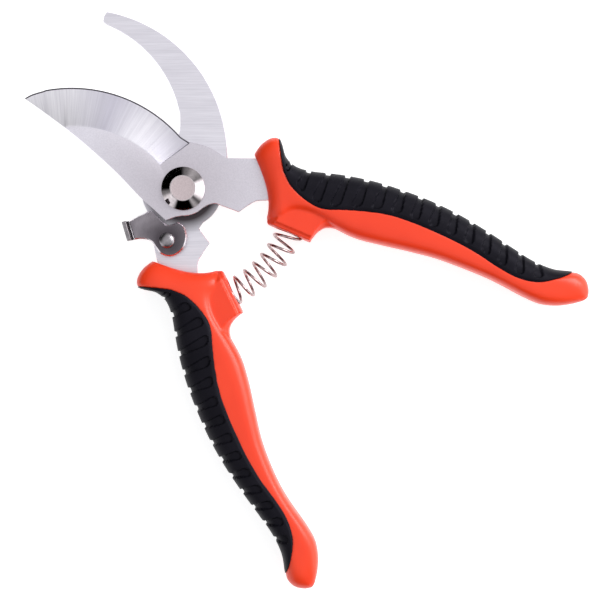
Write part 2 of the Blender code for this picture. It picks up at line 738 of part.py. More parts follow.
def make_spring(look):
    curve = bpy.data.curves.new("return_spring", "CURVE")
    curve.dimensions = "3D"
    curve.bevel_depth = SPRING_WIRE_R * MM
    curve.bevel_resolution = 1
    curve.use_fill_caps = True
    points = spring_points()
    line = curve.splines.new("POLY")
    line.points.add(len(points) - 1)
    for place, point in zip(line.points, points):
        place.co = (*point, 1)
    curve.materials.append(look)
    obj = bpy.data.objects.new("return_spring", curve)
    bpy.context.scene.collection.objects.link(obj)


def main():
    clear_scene()
    looks = {
        "steel": material("blade_steel", (0.62, 0.6, 0.63), 0.34, 1.0),
        "chrome": material("chrome", (0.75, 0.72, 0.73), 0.12, 1.0),
        "zinc": material("zinc_plate", (0.55, 0.55, 0.57), 0.35, 1.0),
        "latch": material("latch_plate", (0.17, 0.15, 0.16), 0.3, 1.0),
        "spring": material("spring_wire", (0.5, 0.4, 0.39), 0.25, 1.0),
        "plastic": material("orange_plastic", (0.9, 0.07, 0.025), 0.35, 0.0),
        "rubber": material("black_rubber", (0.022, 0.02, 0.03), 0.55, 0.0),
    }
    halves = {
        1: half_empty("cutting_half", OPEN_ANGLE / 2),
        -1: half_empty("counter_half", -OPEN_ANGLE / 2),
    }
    rivet_bore = make_blades(halves, looks)
    make_pivot(halves[-1], looks)
    make_latch(halves[-1], looks, rivet_bore)
    make_handle("cutting", 1, halves[1], looks)
    make_handle("counter", -1, halves[-1], looks)
    make_spring(looks["spring"])


main()
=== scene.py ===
"""The looks of the bypass pruning shears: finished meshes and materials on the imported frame.

Lengths are in millimetres until a mesh is made, and angles in degrees. Each half is drawn as
it stands when the shears are shut, in plan (x, y) with the pivot axis at the origin and +y
towards the blade tips, and is then turned open. Handle points are (s, d): s runs from the
pivot along the plane where the shut handles meet, and d is the distance from that plane.
"""

import json
import math

import bmesh
import bpy
import numpy as np
from mathutils import Euler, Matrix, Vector


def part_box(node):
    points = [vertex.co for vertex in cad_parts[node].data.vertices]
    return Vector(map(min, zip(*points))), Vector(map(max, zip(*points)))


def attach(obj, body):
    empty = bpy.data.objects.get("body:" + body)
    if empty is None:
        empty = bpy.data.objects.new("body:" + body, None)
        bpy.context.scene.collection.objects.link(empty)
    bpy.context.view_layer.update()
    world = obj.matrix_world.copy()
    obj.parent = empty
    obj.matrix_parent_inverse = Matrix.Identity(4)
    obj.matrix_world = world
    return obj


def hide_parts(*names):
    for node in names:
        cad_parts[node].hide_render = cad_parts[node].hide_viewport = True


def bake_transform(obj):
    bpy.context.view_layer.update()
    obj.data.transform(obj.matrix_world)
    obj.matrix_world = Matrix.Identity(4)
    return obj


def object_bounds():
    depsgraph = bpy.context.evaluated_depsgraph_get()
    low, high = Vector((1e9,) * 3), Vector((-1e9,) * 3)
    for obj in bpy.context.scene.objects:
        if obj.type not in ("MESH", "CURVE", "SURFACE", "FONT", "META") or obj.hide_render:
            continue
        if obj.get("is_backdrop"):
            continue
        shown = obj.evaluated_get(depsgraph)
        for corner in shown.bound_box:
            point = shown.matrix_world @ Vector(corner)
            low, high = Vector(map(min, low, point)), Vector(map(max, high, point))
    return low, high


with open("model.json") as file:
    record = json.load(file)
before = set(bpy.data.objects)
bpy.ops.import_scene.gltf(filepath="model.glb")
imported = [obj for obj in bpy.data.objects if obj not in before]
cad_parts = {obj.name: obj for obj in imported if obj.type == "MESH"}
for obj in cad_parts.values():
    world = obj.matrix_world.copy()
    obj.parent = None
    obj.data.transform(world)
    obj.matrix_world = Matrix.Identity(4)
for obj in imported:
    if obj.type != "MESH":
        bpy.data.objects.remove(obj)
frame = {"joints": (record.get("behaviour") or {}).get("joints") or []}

MM = 0.001  # metres in a millimetre
CAD_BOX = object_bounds()

CUTTING, COUNTER = 1, -1  # the two halves, and the side of the closing plane their handles are on
BODY = {CUTTING: "cutting_half", COUNTER: "counter_half"}
HALF = {CUTTING: "cutting", COUNTER: "counter"}


# ---- what the frame says ----


def joint(name):
    return next(j for j in frame["joints"] if j["name"] == name)


def span(node, axis):
    """Lowest and highest coordinate of a CAD node, in millimetres."""
    low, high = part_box(node)
    return low[axis] / MM, high[axis] / MM


X, Y, Z = 0, 1, 2
OPEN_ANGLE = joint("pivot")["range_deg"][1]
CUTTING_LOW, CUTTING_HIGH = span("cutting_blade", Z)
COUNTER_LOW, COUNTER_HIGH = span("counter_blade", Z)
HEAD_TOP = span("pivot_bolt", Z)[1]
HEAD_R = span("pivot_bolt", X)[1]
WASHER_LOW, WASHER_HIGH = span("pivot_washer", Z)
SPLIT_LOW, SPLIT_HIGH = span("spring_washer", Z)
NUT_HIGH = span("pivot_nut", Z)[1]
LATCH_LOW, TAB_TOP = span("latch_lever", Z)
LATCH_WASHER_LOW, LATCH_WASHER_HIGH = span("latch_washer", Z)
RIVET_LOW, RIVET_TOP = span("latch_rivet", Z)
MID_Z = sum(span("cutting_handle", Z)) / 2

# ---- sizes of the looks ----

GAP = 0.3  # between pieces that touch
BREAK = 0.15  # broken edge of the stamped plates
BORE = -5.0, 25.0  # the drills' ends, below and above everything
SHANK_R = 4.0
HEAD_TOP_R, HEAD_LAND, HEAD_BULGE = 4.65, 0.7, 0.04
THREAD_PITCH, THREAD_DEPTH, THREAD_END = 1.0, 0.35, 0.9
WASHER_R, SPLIT_R, LATCH_WASHER_R = 8.0, 7.0, 3.6
WASHER_EDGE = 0.18
SPLIT_GAP = 5.0  # degrees from the middle of the spring washer's cut to each side of it
NUT_ACROSS = 13.0  # across its flats
NUT_BORE_EDGE, NUT_TURNED = 0.3, 0.55  # edge of the bore, and slope of the turned-down corners
LATCH_T, LATCH_BREAK = 2.0, 0.45
TAB_FOLD_R, TAB_T, TAB_EDGE = 2.6, 1.4, 0.2
TAB_ENDS = (-22.2, -1.8), (-23.3, -8.5)  # of the line where the latch is folded up
TAB_IN, TAB_ROOT = 0.6, 1.5  # from that line back to the fold, and on into the plate
RIVET_HEAD_R, RIVET_RIM = 2.75, 0.25
RIVET_TAIL_R = 3.0
RIVET_R = 2.0
RIVET_AT = (-13.0, -13.8)
SPRING_PATH_R = 40.0
SPRING_COIL_R = 4.55
SPRING_WIRE_R = 0.5
SPRING_TURNS, SPRING_START = (-2.6, 6.65), -76.4  # open turns, and degrees at turn 0
SPRING_PITCH, CLOSED_PITCH = 6.68, 1.8  # degrees round the pivot to a turn
CLOSED_TURNS, POINTS_PER_TURN = 0.8, 28
POCKET_R = 5.5
POCKET_DEPTH, POCKET_MOUTH = 13.2, 3.0  # degrees round the pivot, into the housing and before it
BOSS_FACE_D = 0.15

EDGE_CENTRE, EDGE_R = (-29.5, 30.2), 50.9
BEVEL_CENTRE, BEVEL_R = (-30.8, 28.1), 39.1
BEVEL_START = (3.4, 46.4)
BLADE_TIP = (7.3, 63.9)
TIP_CURVE = [BLADE_TIP, (9.7, 62.0), (12.9, 58.2)]
BLADE_HEEL = (15.8, 4.7)
BLADE_CORNER = (-12.6, 1.3)
HOOK_OUTER_CENTRE, HOOK_OUTER_R = (-27.9, 26.2), 51.8
HOOK_INNER_CENTRE, HOOK_INNER_R = (-31.5, 35.3), 43.25
BLADE_EYE_R = 9.5
BOSS_R, BOSS_LEFT_R = 13.4, 15.0  # of the counter blade, on its right side and on its left
NOSE_ROWS, GRIND_ROWS = 20, 70  # rows of faces across the grind, before and after BEVEL_START
EDGE_LAND, HONED_HIGH = 0.12, 0.22  # thickness of the cutting edge, and behind its honed band
EDGE_BAND = 0.5  # width of that band
HOLLOW_POWER = 1.5  # 1 would be a flat bevel
HEEL_RUN, HEEL_SLANT = 0.9, 0.12  # length of the slope where the grind ends, and its lean

# The tangs' outlines, as handle points
TANG_OUTER = [(18.7, 19.5), (24.0, 19.8), (30.0, 19.2), (40.0, 18.3), (72.0, 17.6)]
TANG_END = [(75.5, 16.9), (75.5, 14.9)]
TANG_INNER = [(72.0, 14.2), (50.0, 12.8), (38.0, 12.0), (33.0, 10.5)]
TANG_NECK = [(28.8, 7.9), (25.2, 6.1), (22.9, 3.3)]
COUNTER_NECK = [(28.8, 8.6), (25.2, 6.7), (22.9, 3.5)]
TANG_CORNER = (21.0, 0.1)

# Handle sections: outer s, d, inner s, d, width of the grip, half thickness, squareness
RUNGS = [
    (18.0, 20.8, 30.7, 1.8, 10.4, 7.9, 5.0),
    (18.9, 24.8, 32.4, 1.8, 10.4, 8.3, 4.6),
    (21.0, 28.1, 34.2, 2.0, 10.4, 8.6, 4.2),
    (23.6, 29.3, 36.0, 3.1, 10.4, 8.8, 3.8),
    (25.8, 27.6, 37.4, 5.4, 10.4, 8.9, 3.5),
    (29.0, 23.9, 39.2, 7.6, 10.2, 9.0, 3.3),
    (33.5, 22.3, 42.5, 8.9, 11.1, 9.0, 3.1),
    (39.0, 22.9, 46.0, 9.2, 12.1, 9.0, 3.0),
    (45.0, 24.7, 50.2, 8.7, 12.8, 9.0, 2.9),
    (52.0, 26.6, 55.5, 8.0, 12.2, 9.0, 2.8),
    (61.0, 28.3, 62.5, 7.8, 11.1, 9.0, 2.8),
    (71.0, 29.3, 71.0, 9.1, 9.8, 9.0, 2.8),
    (82.0, 29.7, 81.0, 11.2, 9.5, 9.0, 2.8),
    (93.0, 29.1, 91.0, 13.1, 8.9, 8.9, 2.8),
    (104.0, 27.6, 101.0, 13.9, 8.3, 8.8, 2.8),
    (114.0, 25.8, 110.0, 14.0, 8.4, 8.7, 2.8),
    (122.0, 24.5, 117.0, 13.4, 8.1, 8.7, 2.8),
    (129.5, 24.6, 121.5, 12.8, 7.9, 8.6, 2.8),
    (135.6, 26.3, 126.0, 12.3, 6.2, 8.4, 2.8),
    (139.0, 27.0, 131.0, 12.2, 5.6, 8.0, 2.8),
    (142.2, 25.9, 136.0, 13.6, 4.6, 7.2, 2.6),
    (144.4, 23.2, 140.3, 15.9, 3.0, 5.9, 2.4),
    (145.2, 20.6, 143.4, 18.2, 1.2, 4.2, 2.2),
]
FRONT_BOW, BOW_SKEW = 2.1, 0.75  # hollow of the handle's front face, deeper near its inner end
BOW_RUNGS = 4.0  # the hollow fades out over these
FRONT_ROLL, ROLL_RUNGS = 0.4, 3.0  # share of the thickness lost in the roll at the front
WAIST, WAIST_SHIFT = (66.0, 142.0), 1.0  # where the handles' inner sides differ, and how much
GRIP_FOLLOWS = 0.4  # share of that shift that the grip's width takes up
INNER_SQUARE, SQUARE_TO, SQUARE_FADE = 4.6, 18.0, 0.6  # squareness of the inner side, up to a rung
# Half thickness of the spring housing and of its lip, and the heights where their sides lean in
HOUSING_HALF, HOUSING_SHOULDER = 7.4, 5.2
LIP_HALF, LIP_SHOULDER = 6.6, 4.0
LIP_EDGE, LIP_FRONT = 0.4, 34.0  # how far the sides lean in, and where the front ends, as s
VOXEL, SOFTEN = 0.4, (0.5, 3)  # of the moulded handles: cell, and factor and rounds of smoothing

# Rungs where the grip starts, has its full width, narrows again and ends
GRIP_FROM, GRIP_FULL, GRIP_FADES, GRIP_TO = 3.2, 4.0, 17.2, 18.15
GRIP_STATIONS, GRIP_STEPS = 460, 40
LIP_SINK, LIP_RISE, LIP_RUN = 0.4, 0.1, 0.55  # the grip's lip: from, to, and over this distance
RECESS, RECESS_FROM, RECESS_TO = 1.3, 0.45, 1.1  # how deep the handle is sunk under it, and where
GRIP_TRIM = 0.012  # rungs left off each end, where the grip has no width
LIP_T, GRIP_SKIN = 0.05, 1.1  # thickness at the lip, and depth of the underside past it
RIB_RUN = 1.0  # past the lip, the ribs rise over this distance
EDGE_TRIM, EDGE_LAST = 0.2, 19  # rungs from the grip's front to the first rung read, and the last
GRIP_LAP = 0.2  # the lip starts this far outside the boundary, where it is still sunk
RIB_RISE, GROOVE_FLOOR = 0.42, -0.36
GROOVE_FIRST, GROOVE_PITCH, GROOVES = 31.4, 6.6, 15
GROOVE_OUT_HALF, GROOVE_IN_HALF = 0.95, 1.9
GROOVE_MARGIN, GROOVE_WALL = 1.5, 0.18
DRIFT_FIRST, DRIFT_FROM, DRIFT_GAIN = -0.5, 40.0, 2.6 / 85  # how far a groove leans, at which s
FIRST_LENGTH, FIRST_SHARE = 3.2, 0.6  # the first groove is short and narrow

# ---- colours ----

STEEL_LIGHT, STEEL_DARK = (0.87, 0.845, 0.915), (0.78, 0.755, 0.825)
WORN_LIGHT, WORN_DARK = (0.66, 0.62, 0.675), (0.585, 0.55, 0.6)
ORANGE, ORANGE_DEEP = (0.95, 0.055, 0.012), (0.9, 0.045, 0.009)
RUBBER, RUBBER_DARK = (0.007, 0.0065, 0.01), (0.004, 0.0038, 0.0062)
RUBBER_WORN = (0.018, 0.0165, 0.024)
HANDLED = 8.0, 38.0  # radii between which the cutting blade's steel goes from dull to clean
CUTTING_SHADOW_RADII = 10.8, 16.0  # radii between which the cutting blade's shadow is painted dark on the counter blade
LATCH_WORN = 3.5, 11.0  # distances from the rivet between which the latch gets lighter
# Distances along the cutting edge, in millimetres from the level line through the edge's centre
GRIND_SHADE_AT, GRIND_FADE = 23.0, 17.0  # where painted reflection shade on the grind is darkest, and how far that painted shade reaches
GRIND_HEEL_SHADE = -4.0, 12.0  # painted shade on the grind deepens again between these, at the heel

# ---- studio ----

VIEW_TURN = 46.4  # from the frame to the view's upright, anticlockwise
HOOK_LINES = -VIEW_TURN  # the hook's grinding lines lie level in the view
LIGHT_FROM = 30.0  # degrees in the view, anticlockwise from right
KEY = {"distance": 0.85, "height": 0.62, "size": 0.6, "power": 7.8}  # metres and watts
FILL = {"distance": 0.8, "height": 0.6, "size": 0.8, "power": 0.6}
FILL_TURN = 60.0  # from the key light to the fill light
PANEL, PANEL_FROM = 0.88, (0.62, 0.94)  # brightness overhead, and the heights where it starts
STANDS = [  # degrees in the view, and the brightness there near the horizon
    (0, 2.4), (22, 2.0), (38, 0.35), (62, 0.6), (84, 0.25), (100, 0.0), (176, 0.0), (190, 0.3),
    (208, 1.3), (232, 1.1), (246, 0.0), (292, 0.0), (304, 0.6), (320, 0.15), (342, 2.0),
    (360, 2.4),
]
WALL_MOST, WALL_FROM = 0.8, (0.36, 0.62)  # no stand is brighter than this, above these heights
COOL = 1.02  # share by which the studio's blue is over its red
FLOOR_GLOW = 0.8  # the paper is lit from below, so that shadows stay soft
FLOOR_SIZE, FLOOR_CELLS = 2.4, 24
CAMERA_AT = (-0.05, -56.36)
CAMERA_HEIGHT, VIEW_PLANE, VIEW_WIDTH = 650.0, 11.0, 210.0
SENSOR, CLIP = 36.0, (0.02, 20.0)  # millimetres, and metres


# ---- plan geometry ----


def polar(centre, radius, degrees):
    turn = math.radians(degrees)
    return (centre[0] + radius * math.cos(turn), centre[1] + radius * math.sin(turn))


def circle(radius, z, count):
    return [(*polar((0, 0), radius, 360 * k / count), z) for k in range(count)]


def arc(centre, radius, start, end, steps):
    return [
        polar(centre, radius, start + (end - start) * i / steps) for i in range(steps + 1)
    ]


def angle_at(centre, point):
    return math.degrees(math.atan2(point[1] - centre[1], point[0] - centre[0]))


def arc_between(centre, radius, first, last, steps):
    return arc(centre, radius, angle_at(centre, first), angle_at(centre, last), steps)


def along(values, q):
    """The smooth curve through values, read at the fractional index q."""
    i = min(int(q), len(values) - 2)
    padded = [2 * values[0] - values[1], *values, 2 * values[-1] - values[-2]]
    a, b, c, d = padded[i : i + 4]
    t = q - i
    return 0.5 * (
        2 * b + (c - a) * t + (2 * a - 5 * b + 4 * c - d) * t**2
        + (3 * b - a - 3 * c + d) * t**3
    )


def spline(points, steps):
    xs, ys = [p[0] for p in points], [p[1] for p in points]
    count = (len(points) - 1) * steps
    return [(along(xs, i / steps), along(ys, i / steps)) for i in range(count + 1)]


def resampled(line, steps):
    """The line cut into equal lengths."""
    points = np.array(line, float)
    lengths = np.concatenate([[0], np.cumsum(np.linalg.norm(np.diff(points, axis=0), axis=1))])
    wanted = np.linspace(0, lengths[-1], steps + 1)
    columns = [np.interp(wanted, lengths, points[:, k]) for k in range(points.shape[1])]
    return [tuple(float(v) for v in row) for row in np.stack(columns, axis=1)]


def turned(point, degrees):
    turn = math.radians(degrees)
    c, s = math.cos(turn), math.sin(turn)
    return (point[0] * c - point[1] * s, point[0] * s + point[1] * c)


def opened(side, point):
    """A plan point of one half, where it stands in the frame."""
    return turned(point, side * OPEN_ANGLE / 2)


def handle_point(side, point):
    return (side * point[1], -point[0])


def inset(outline, distance):
    """A closed outline moved inwards, corner by corner."""
    area = sum(a[0] * b[1] - b[0] * a[1] for a, b in zip(outline, outline[1:] + outline[:1]))
    turn = 1 if area > 0 else -1
    found = []
    for k, here in enumerate(outline):
        before, after = Vector(outline[k - 1]), Vector(outline[(k + 1) % len(outline)])
        into = (Vector(here) - before).normalized()
        out = (after - Vector(here)).normalized()
        normals = Vector((-into.y, into.x)) * turn, Vector((-out.y, out.x)) * turn
        middle = (normals[0] + normals[1]).normalized()
        reach = distance / max(0.5, middle.dot(normals[0]))
        found.append((here[0] + middle.x * reach, here[1] + middle.y * reach))
    return found


def smooth_step(low, high, value):
    t = min(1.0, max(0.0, (value - low) / (high - low)))
    return t * t * (3 - 2 * t)


# ---- meshes ----


class Shape:
    """Vertices in millimetres and faces, gathered before they become an object."""

    def __init__(self):
        self.verts, self.faces, self.looks = [], [], []

    def add(self, points):
        start = len(self.verts)
        self.verts.extend(points)
        return list(range(start, len(self.verts)))

    def face(self, corners, look=0):
        corners = list(dict.fromkeys(corners))
        if len(corners) > 2:
            self.faces.append(corners)
            self.looks.append(look)

    def bridge(self, first, second, look=0, closed=True):
        count = len(first)
        for k in range(count if closed else count - 1):
            n = (k + 1) % count
            self.face((first[k], first[n], second[n], second[k]), look)

    def loft(self, loops):
        for first, second in zip(loops, loops[1:]):
            self.bridge(first, second)

    def capped_loft(self, loops):
        self.loft(loops)
        self.face(loops[0])
        self.face(loops[-1])
        return self


def built(name, shape, degrees=0.0, at=(0.0, 0.0), crease=30, looks=()):
    """The shape as a mesh object, turned about the pivot axis, facing outwards."""
    mesh = bpy.data.meshes.new(name)
    for look in looks:
        mesh.materials.append(look)
    points = [(*turned((x + at[0], y + at[1]), degrees), z) for x, y, z in shape.verts]
    mesh.from_pydata([[v * MM for v in p] for p in points], [], shape.faces)
    mesh.polygons.foreach_set("material_index", shape.looks)
    bm = bmesh.new()
    bm.from_mesh(mesh)
    bmesh.ops.recalc_face_normals(bm, faces=bm.faces)
    bm.to_mesh(mesh)
    bm.free()
    mesh.shade_smooth()
    mesh.set_sharp_from_angle(angle=math.radians(crease))
    obj = bpy.data.objects.new(name, mesh)
    bpy.context.scene.collection.objects.link(obj)
    return obj


def applied(obj, crease):
    """Puts the object's modifiers into its mesh."""
    graph = bpy.context.evaluated_depsgraph_get()
    graph.update()
    mesh = bpy.data.meshes.new_from_object(obj.evaluated_get(graph))
    obj.modifiers.clear()
    obj.data = mesh
    mesh.shade_smooth()
    mesh.set_sharp_from_angle(angle=math.radians(crease))


def bored(obj, radius, centre, crease=30):
    """Drills a round hole through the object."""
    shape = Shape()
    loops = [shape.add(circle(radius, z, 64)) for z in BORE]
    cutter = built("bore", shape.capped_loft(loops), at=centre)
    combined(obj, cutter, "DIFFERENCE", crease)


def combined(obj, other, operation, crease=30):
    """Adds the other object to this one, or takes it away, and removes the other."""
    modifier = obj.modifiers.new(other.name, "BOOLEAN")
    modifier.operation = operation
    modifier.solver = "EXACT"
    modifier.object = other
    applied(obj, crease)
    bpy.data.objects.remove(other, do_unlink=True)


def plate(outline, low, high, edge=BREAK, edge_look=0):
    """A stamped plate with its edges broken."""
    shape = Shape()
    inner = inset(outline, edge)
    rings = [(inner, low), (outline, low + edge), (outline, high - edge), (inner, high)]
    loops = [shape.add([(x, y, z) for x, y in line]) for line, z in rings]
    for k, look in enumerate((edge_look, 0, edge_look)):
        shape.bridge(loops[k], loops[k + 1], look)
    shape.face(loops[0])
    shape.face(loops[-1])
    return shape


def lathe(profile, segments, looks=None):
    """A profile of (radius, z) from the axis at the top round to the axis at the bottom."""
    shape = Shape()
    loops = []
    for radius, z in profile:
        if radius == 0:
            loops.append([shape.add([(0.0, 0.0, z)])[0]] * segments)
            continue
        loops.append(shape.add(circle(radius, z, segments)))
    for k, (first, second) in enumerate(zip(loops, loops[1:])):
        shape.bridge(first, second, looks[k] if looks else 0)
    return shape


def closed_lathe(profile, segments):
    """A ring whose profile closes on itself."""
    shape = Shape()
    loops = [shape.add(circle(radius, z, segments)) for radius, z in profile]
    shape.loft([*loops, loops[0]])
    return shape


def finished(obj, body, node):
    """Gives a piece its place on the frame."""
    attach(obj, body)
    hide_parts(node)


# ---- blades ----


def tang_outline(side):
    return [handle_point(side, p) for p in TANG_OUTER + TANG_END + TANG_INNER]


def cutting_plan():
    """The edge from tip to heel, the line where the grind ends, and the rest of the outline."""
    edge = spline(TIP_CURVE, 8)[:-1]
    edge += arc_between(EDGE_CENTRE, EDGE_R, TIP_CURVE[-1], BEVEL_START, 24)
    split = resampled(edge, NOSE_ROWS)
    main = [*arc_between(EDGE_CENTRE, EDGE_R, BEVEL_START, (16.5, 8.1), 80), (16.0, 5.9),
            BLADE_HEEL]
    nose = spline([BEVEL_START, (5.75, 56.4), BLADE_TIP], 16)[::-1]
    grind = arc_between(BEVEL_CENTRE, BEVEL_R, BEVEL_START, (4.4, 10.9), 80)
    spine = spline([BLADE_CORNER, (-9.0, 11.8), (-3.7, 24.4), (0.8, 37.5), BEVEL_START], 12)
    shoulder = spline([BLADE_HEEL, (16.8, -2.4), (15.9, -9.9)], 8)[1:]
    neck = spline([handle_point(CUTTING, p) for p in [TANG_INNER[-1], *TANG_NECK]], 5)[1:]
    corner = spline([handle_point(CUTTING, TANG_CORNER), (-0.2, -15.0), (-0.4, -12.2),
                     (-1.8, -10.2)], 5)
    eye = arc((0, 0), BLADE_EYE_R, -113, -160, 12)
    rest = [*shoulder, *tang_outline(CUTTING), *neck, *corner, *eye, (-10.2, -1.3), *spine[:-1]]
    back = resampled(nose, NOSE_ROWS) + resampled(grind, GRIND_ROWS)[1:]
    return split + resampled(main, GRIND_ROWS)[1:], back, rest


def cutting_blade_shape():
    """A plate, hollow ground on its upper face down to a honed edge, with its sides broken."""
    edge, back, rest = cutting_plan()
    low, high = CUTTING_LOW, CUTTING_HIGH
    steps = 22
    full_width = math.dist(edge[NOSE_ROWS], back[NOSE_ROWS])
    shape = Shape()
    rows = [shape.add([(*BLADE_TIP, low + EDGE_LAND)]) * (steps + 2)]
    for i in range(1, len(edge)):
        (ex, ey), (bx, by) = edge[i], back[i]
        width = math.dist(edge[i], back[i])
        depth = 1 if i >= NOSE_ROWS else min(1, width / full_width)
        honed = min(0.5, EDGE_BAND / width)
        row = []
        for f in [0, honed, *[honed + (1 - honed) * k / steps for k in range(1, steps + 1)]]:
            hollow = HONED_HIGH + (high - low - HONED_HIGH) * (f * depth) ** HOLLOW_POWER
            z = low + (EDGE_LAND if f == 0 else hollow)
            row.append((ex + (bx - ex) * f, ey + (by - ey) * f, z))
        rows.append(shape.add(row))
    for first, second in zip(rows, rows[1:]):
        shape.bridge(first[:2], second[:2], 2, closed=False)
        shape.bridge(first[1:], second[1:], 1, closed=False)
    heel = rows[-1]
    wall = [heel[-1]]
    for index in heel[-2::-1]:
        x, y, z = shape.verts[index]
        run = HEEL_RUN * (high - z) / (high - low)
        wall += shape.add([(x + HEEL_SLANT * run, y - run, high)])
    shape.bridge(heel[::-1], wall, 1, closed=False)
    outline = [shape.verts[wall[-1]][:2], *rest, shape.verts[rows[NOSE_ROWS][-1]][:2]]
    drawn_in = inset(outline, BREAK)[1:-1]
    side_high = shape.add([(x, y, high - BREAK) for x, y in rest])
    face_high = shape.add([(x, y, high) for x, y in drawn_in])
    start, end = wall[-1], rows[NOSE_ROWS][-1]
    shape.bridge([start, *side_high, end], [start, *face_high, end], 0, closed=False)
    shape.face([row[-1] for row in rows[NOSE_ROWS:]] + wall[1:] + face_high)
    upper = [row[0] for row in rows] + [wall[-1]] + side_high
    upper += [row[-1] for row in rows[NOSE_ROWS:0:-1]]
    under = shape.add([(*shape.verts[k][:2], low) for k in upper])
    shape.bridge(upper, under)
    shape.face(under)
    return shape


def counter_plan():
    outer = arc_between(HOOK_OUTER_CENTRE, HOOK_OUTER_R, (18.4, 2.9), (2.7, 67.6), 90)
    tip = [(1.2, 66.8), (0.2, 65.3), (0.7, 64.2)]
    inner = arc_between(HOOK_INNER_CENTRE, HOOK_INNER_R, (2.8, 61.7), (10.4, 24.3), 60)
    gullet = spline([(10.4, 24.3), (7.3, 18.7), (1.5, 15.2), (-5.3, 13.3)], 8)[1:]
    boss_left = arc((0, 0), BOSS_LEFT_R, 118, 184, 18)
    tang = [handle_point(COUNTER, (16.1, 18.9)), *tang_outline(COUNTER)]
    neck = spline([handle_point(COUNTER, p) for p in [TANG_INNER[-1], *COUNTER_NECK]], 5)[1:]
    corner = spline([handle_point(COUNTER, TANG_CORNER), (-1.0, -16.4), (-1.2, -14.6)], 5)
    boss_right = arc((0, 0), BOSS_R, -86, -30, 20)
    return [*outer, *tip, *inner, *gullet, *boss_left, *tang, *neck, *corner, *boss_right]


def make_blades(looks):
    turn = OPEN_ANGLE / 2
    steels = [looks["satin"], looks["ground"], looks["honed"]]
    cutting = built("cutting_blade_steel", cutting_blade_shape(), turn, crease=24, looks=steels)
    bored(cutting, SHANK_R + GAP, (0, 0), crease=24)
    finished(cutting, BODY[CUTTING], "cutting_blade")
    shape = plate(counter_plan(), COUNTER_LOW, COUNTER_HIGH)
    counter = built("counter_blade_steel", shape, -turn, looks=[looks["hook"]])
    bored(counter, SHANK_R + GAP, (0, 0))
    bored(counter, RIVET_R + GAP, opened(COUNTER, RIVET_AT))
    finished(counter, BODY[COUNTER], "counter_blade")


# ---- pivot ----


def head_profile(seat):
    """The bolt's head from the middle of its top to the shank: a satin face on a polished cone."""
    foot = seat + HEAD_LAND
    cone = [
        (HEAD_R + (HEAD_TOP_R - HEAD_R) * t + HEAD_BULGE * math.sin(math.pi * t),
         foot + (HEAD_TOP - 0.25 - foot) * t)
        for t in [k / 8 for k in range(9)]
    ]
    return [
        (0, HEAD_TOP - 0.12),
        (2.6, HEAD_TOP - 0.1),
        (HEAD_TOP_R - 0.75, HEAD_TOP - 0.05),
        (HEAD_TOP_R - 0.45, HEAD_TOP),
        (HEAD_TOP_R - 0.2, HEAD_TOP - 0.06),
        *cone[::-1],
        (HEAD_R, seat + 0.2),
        (HEAD_R - 0.2, seat),
        (SHANK_R, seat),
    ]


def make_pivot(looks):
    profile = head_profile(CUTTING_HIGH + GAP)
    thread_top = COUNTER_LOW - GAP
    for k in range(int((thread_top - THREAD_END) / THREAD_PITCH)):
        z = thread_top - THREAD_PITCH * k
        profile += [(SHANK_R, z), (SHANK_R, z - 0.2), (SHANK_R - THREAD_DEPTH, z - 0.5),
                    (SHANK_R, z - 0.8)]
    profile += [(SHANK_R, 0.5), (SHANK_R - 0.5, 0), (0, 0)]
    order = [1, 1, 1] + [0] * (len(profile) - 4)
    chromes = [looks["chrome"], looks["facing"]]
    bolt = built("pivot_bolt_chrome", lathe(profile, 96, order), crease=28, looks=chromes)
    finished(bolt, BODY[COUNTER], "pivot_bolt")
    zinc = [looks["zinc"]]
    profile = washer_profile(SHANK_R + GAP, WASHER_R, WASHER_LOW, WASHER_HIGH)
    washer = built("pivot_washer_zinc", closed_lathe(profile, 72), looks=zinc)
    finished(washer, BODY[COUNTER], "pivot_washer")
    split = built("spring_washer_zinc", split_ring(), looks=zinc)
    finished(split, BODY[COUNTER], "spring_washer")
    nut = built("pivot_nut_zinc", nut_shape(), looks=zinc)
    finished(nut, BODY[COUNTER], "pivot_nut")


def washer_profile(inner, outer, low, high):
    edge = WASHER_EDGE
    return [(inner + edge, high), (outer - edge, high), (outer, high - edge),
            (outer, low + edge), (outer - edge, low), (inner + edge, low),
            (inner, low + edge), (inner, high - edge)]


def split_ring():
    """A spring washer, cut through."""
    profile = washer_profile(SHANK_R + GAP, SPLIT_R, SPLIT_LOW, SPLIT_HIGH)
    steps, gap = 60, SPLIT_GAP
    shape = Shape()
    loops = []
    for k in range(steps + 1):
        turn = gap + (360 - 2 * gap) * k / steps
        loops.append(shape.add([(*polar((0, 0), r, turn), z) for r, z in profile]))
    return shape.capped_loft(loops)


def nut_shape():
    """A thin hexagon nut with turned-down corners."""
    flat_r = NUT_ACROSS / 2
    corner_r = flat_r / math.cos(math.radians(30))
    hexagon = [polar((0, 0), corner_r, 60 * k) for k in range(6)]
    outline = []
    for a, b in zip(hexagon, hexagon[1:] + hexagon[:1]):
        outline += [(a[0] + (b[0] - a[0]) * t, a[1] + (b[1] - a[1]) * t)
                    for t in [k / 8 for k in range(8)]]
    shape = Shape()
    loops = []
    for low, is_end in ((True, True), (True, False), (False, False), (False, True)):
        ring = []
        for x, y in outline:
            r = math.hypot(x, y)
            drop = 0.0 if is_end else max(0.0, r - flat_r) * NUT_TURNED
            scale = min(1.0, flat_r / r) if is_end else 1.0
            ring.append((x * scale, y * scale, drop if low else NUT_HIGH - drop))
        loops.append(shape.add(ring))
    shape.loft(loops)
    count = len(outline)
    bore_r = SHANK_R + GAP
    edge = NUT_BORE_EDGE
    profile = [(bore_r + edge, 0), (bore_r, edge), (bore_r, NUT_HIGH - edge),
               (bore_r + edge, NUT_HIGH)]
    holes = [shape.add(circle(r, z, count)) for r, z in profile]
    shape.loft([loops[0], *holes, loops[-1]])
    return shape


# ---- latch ----


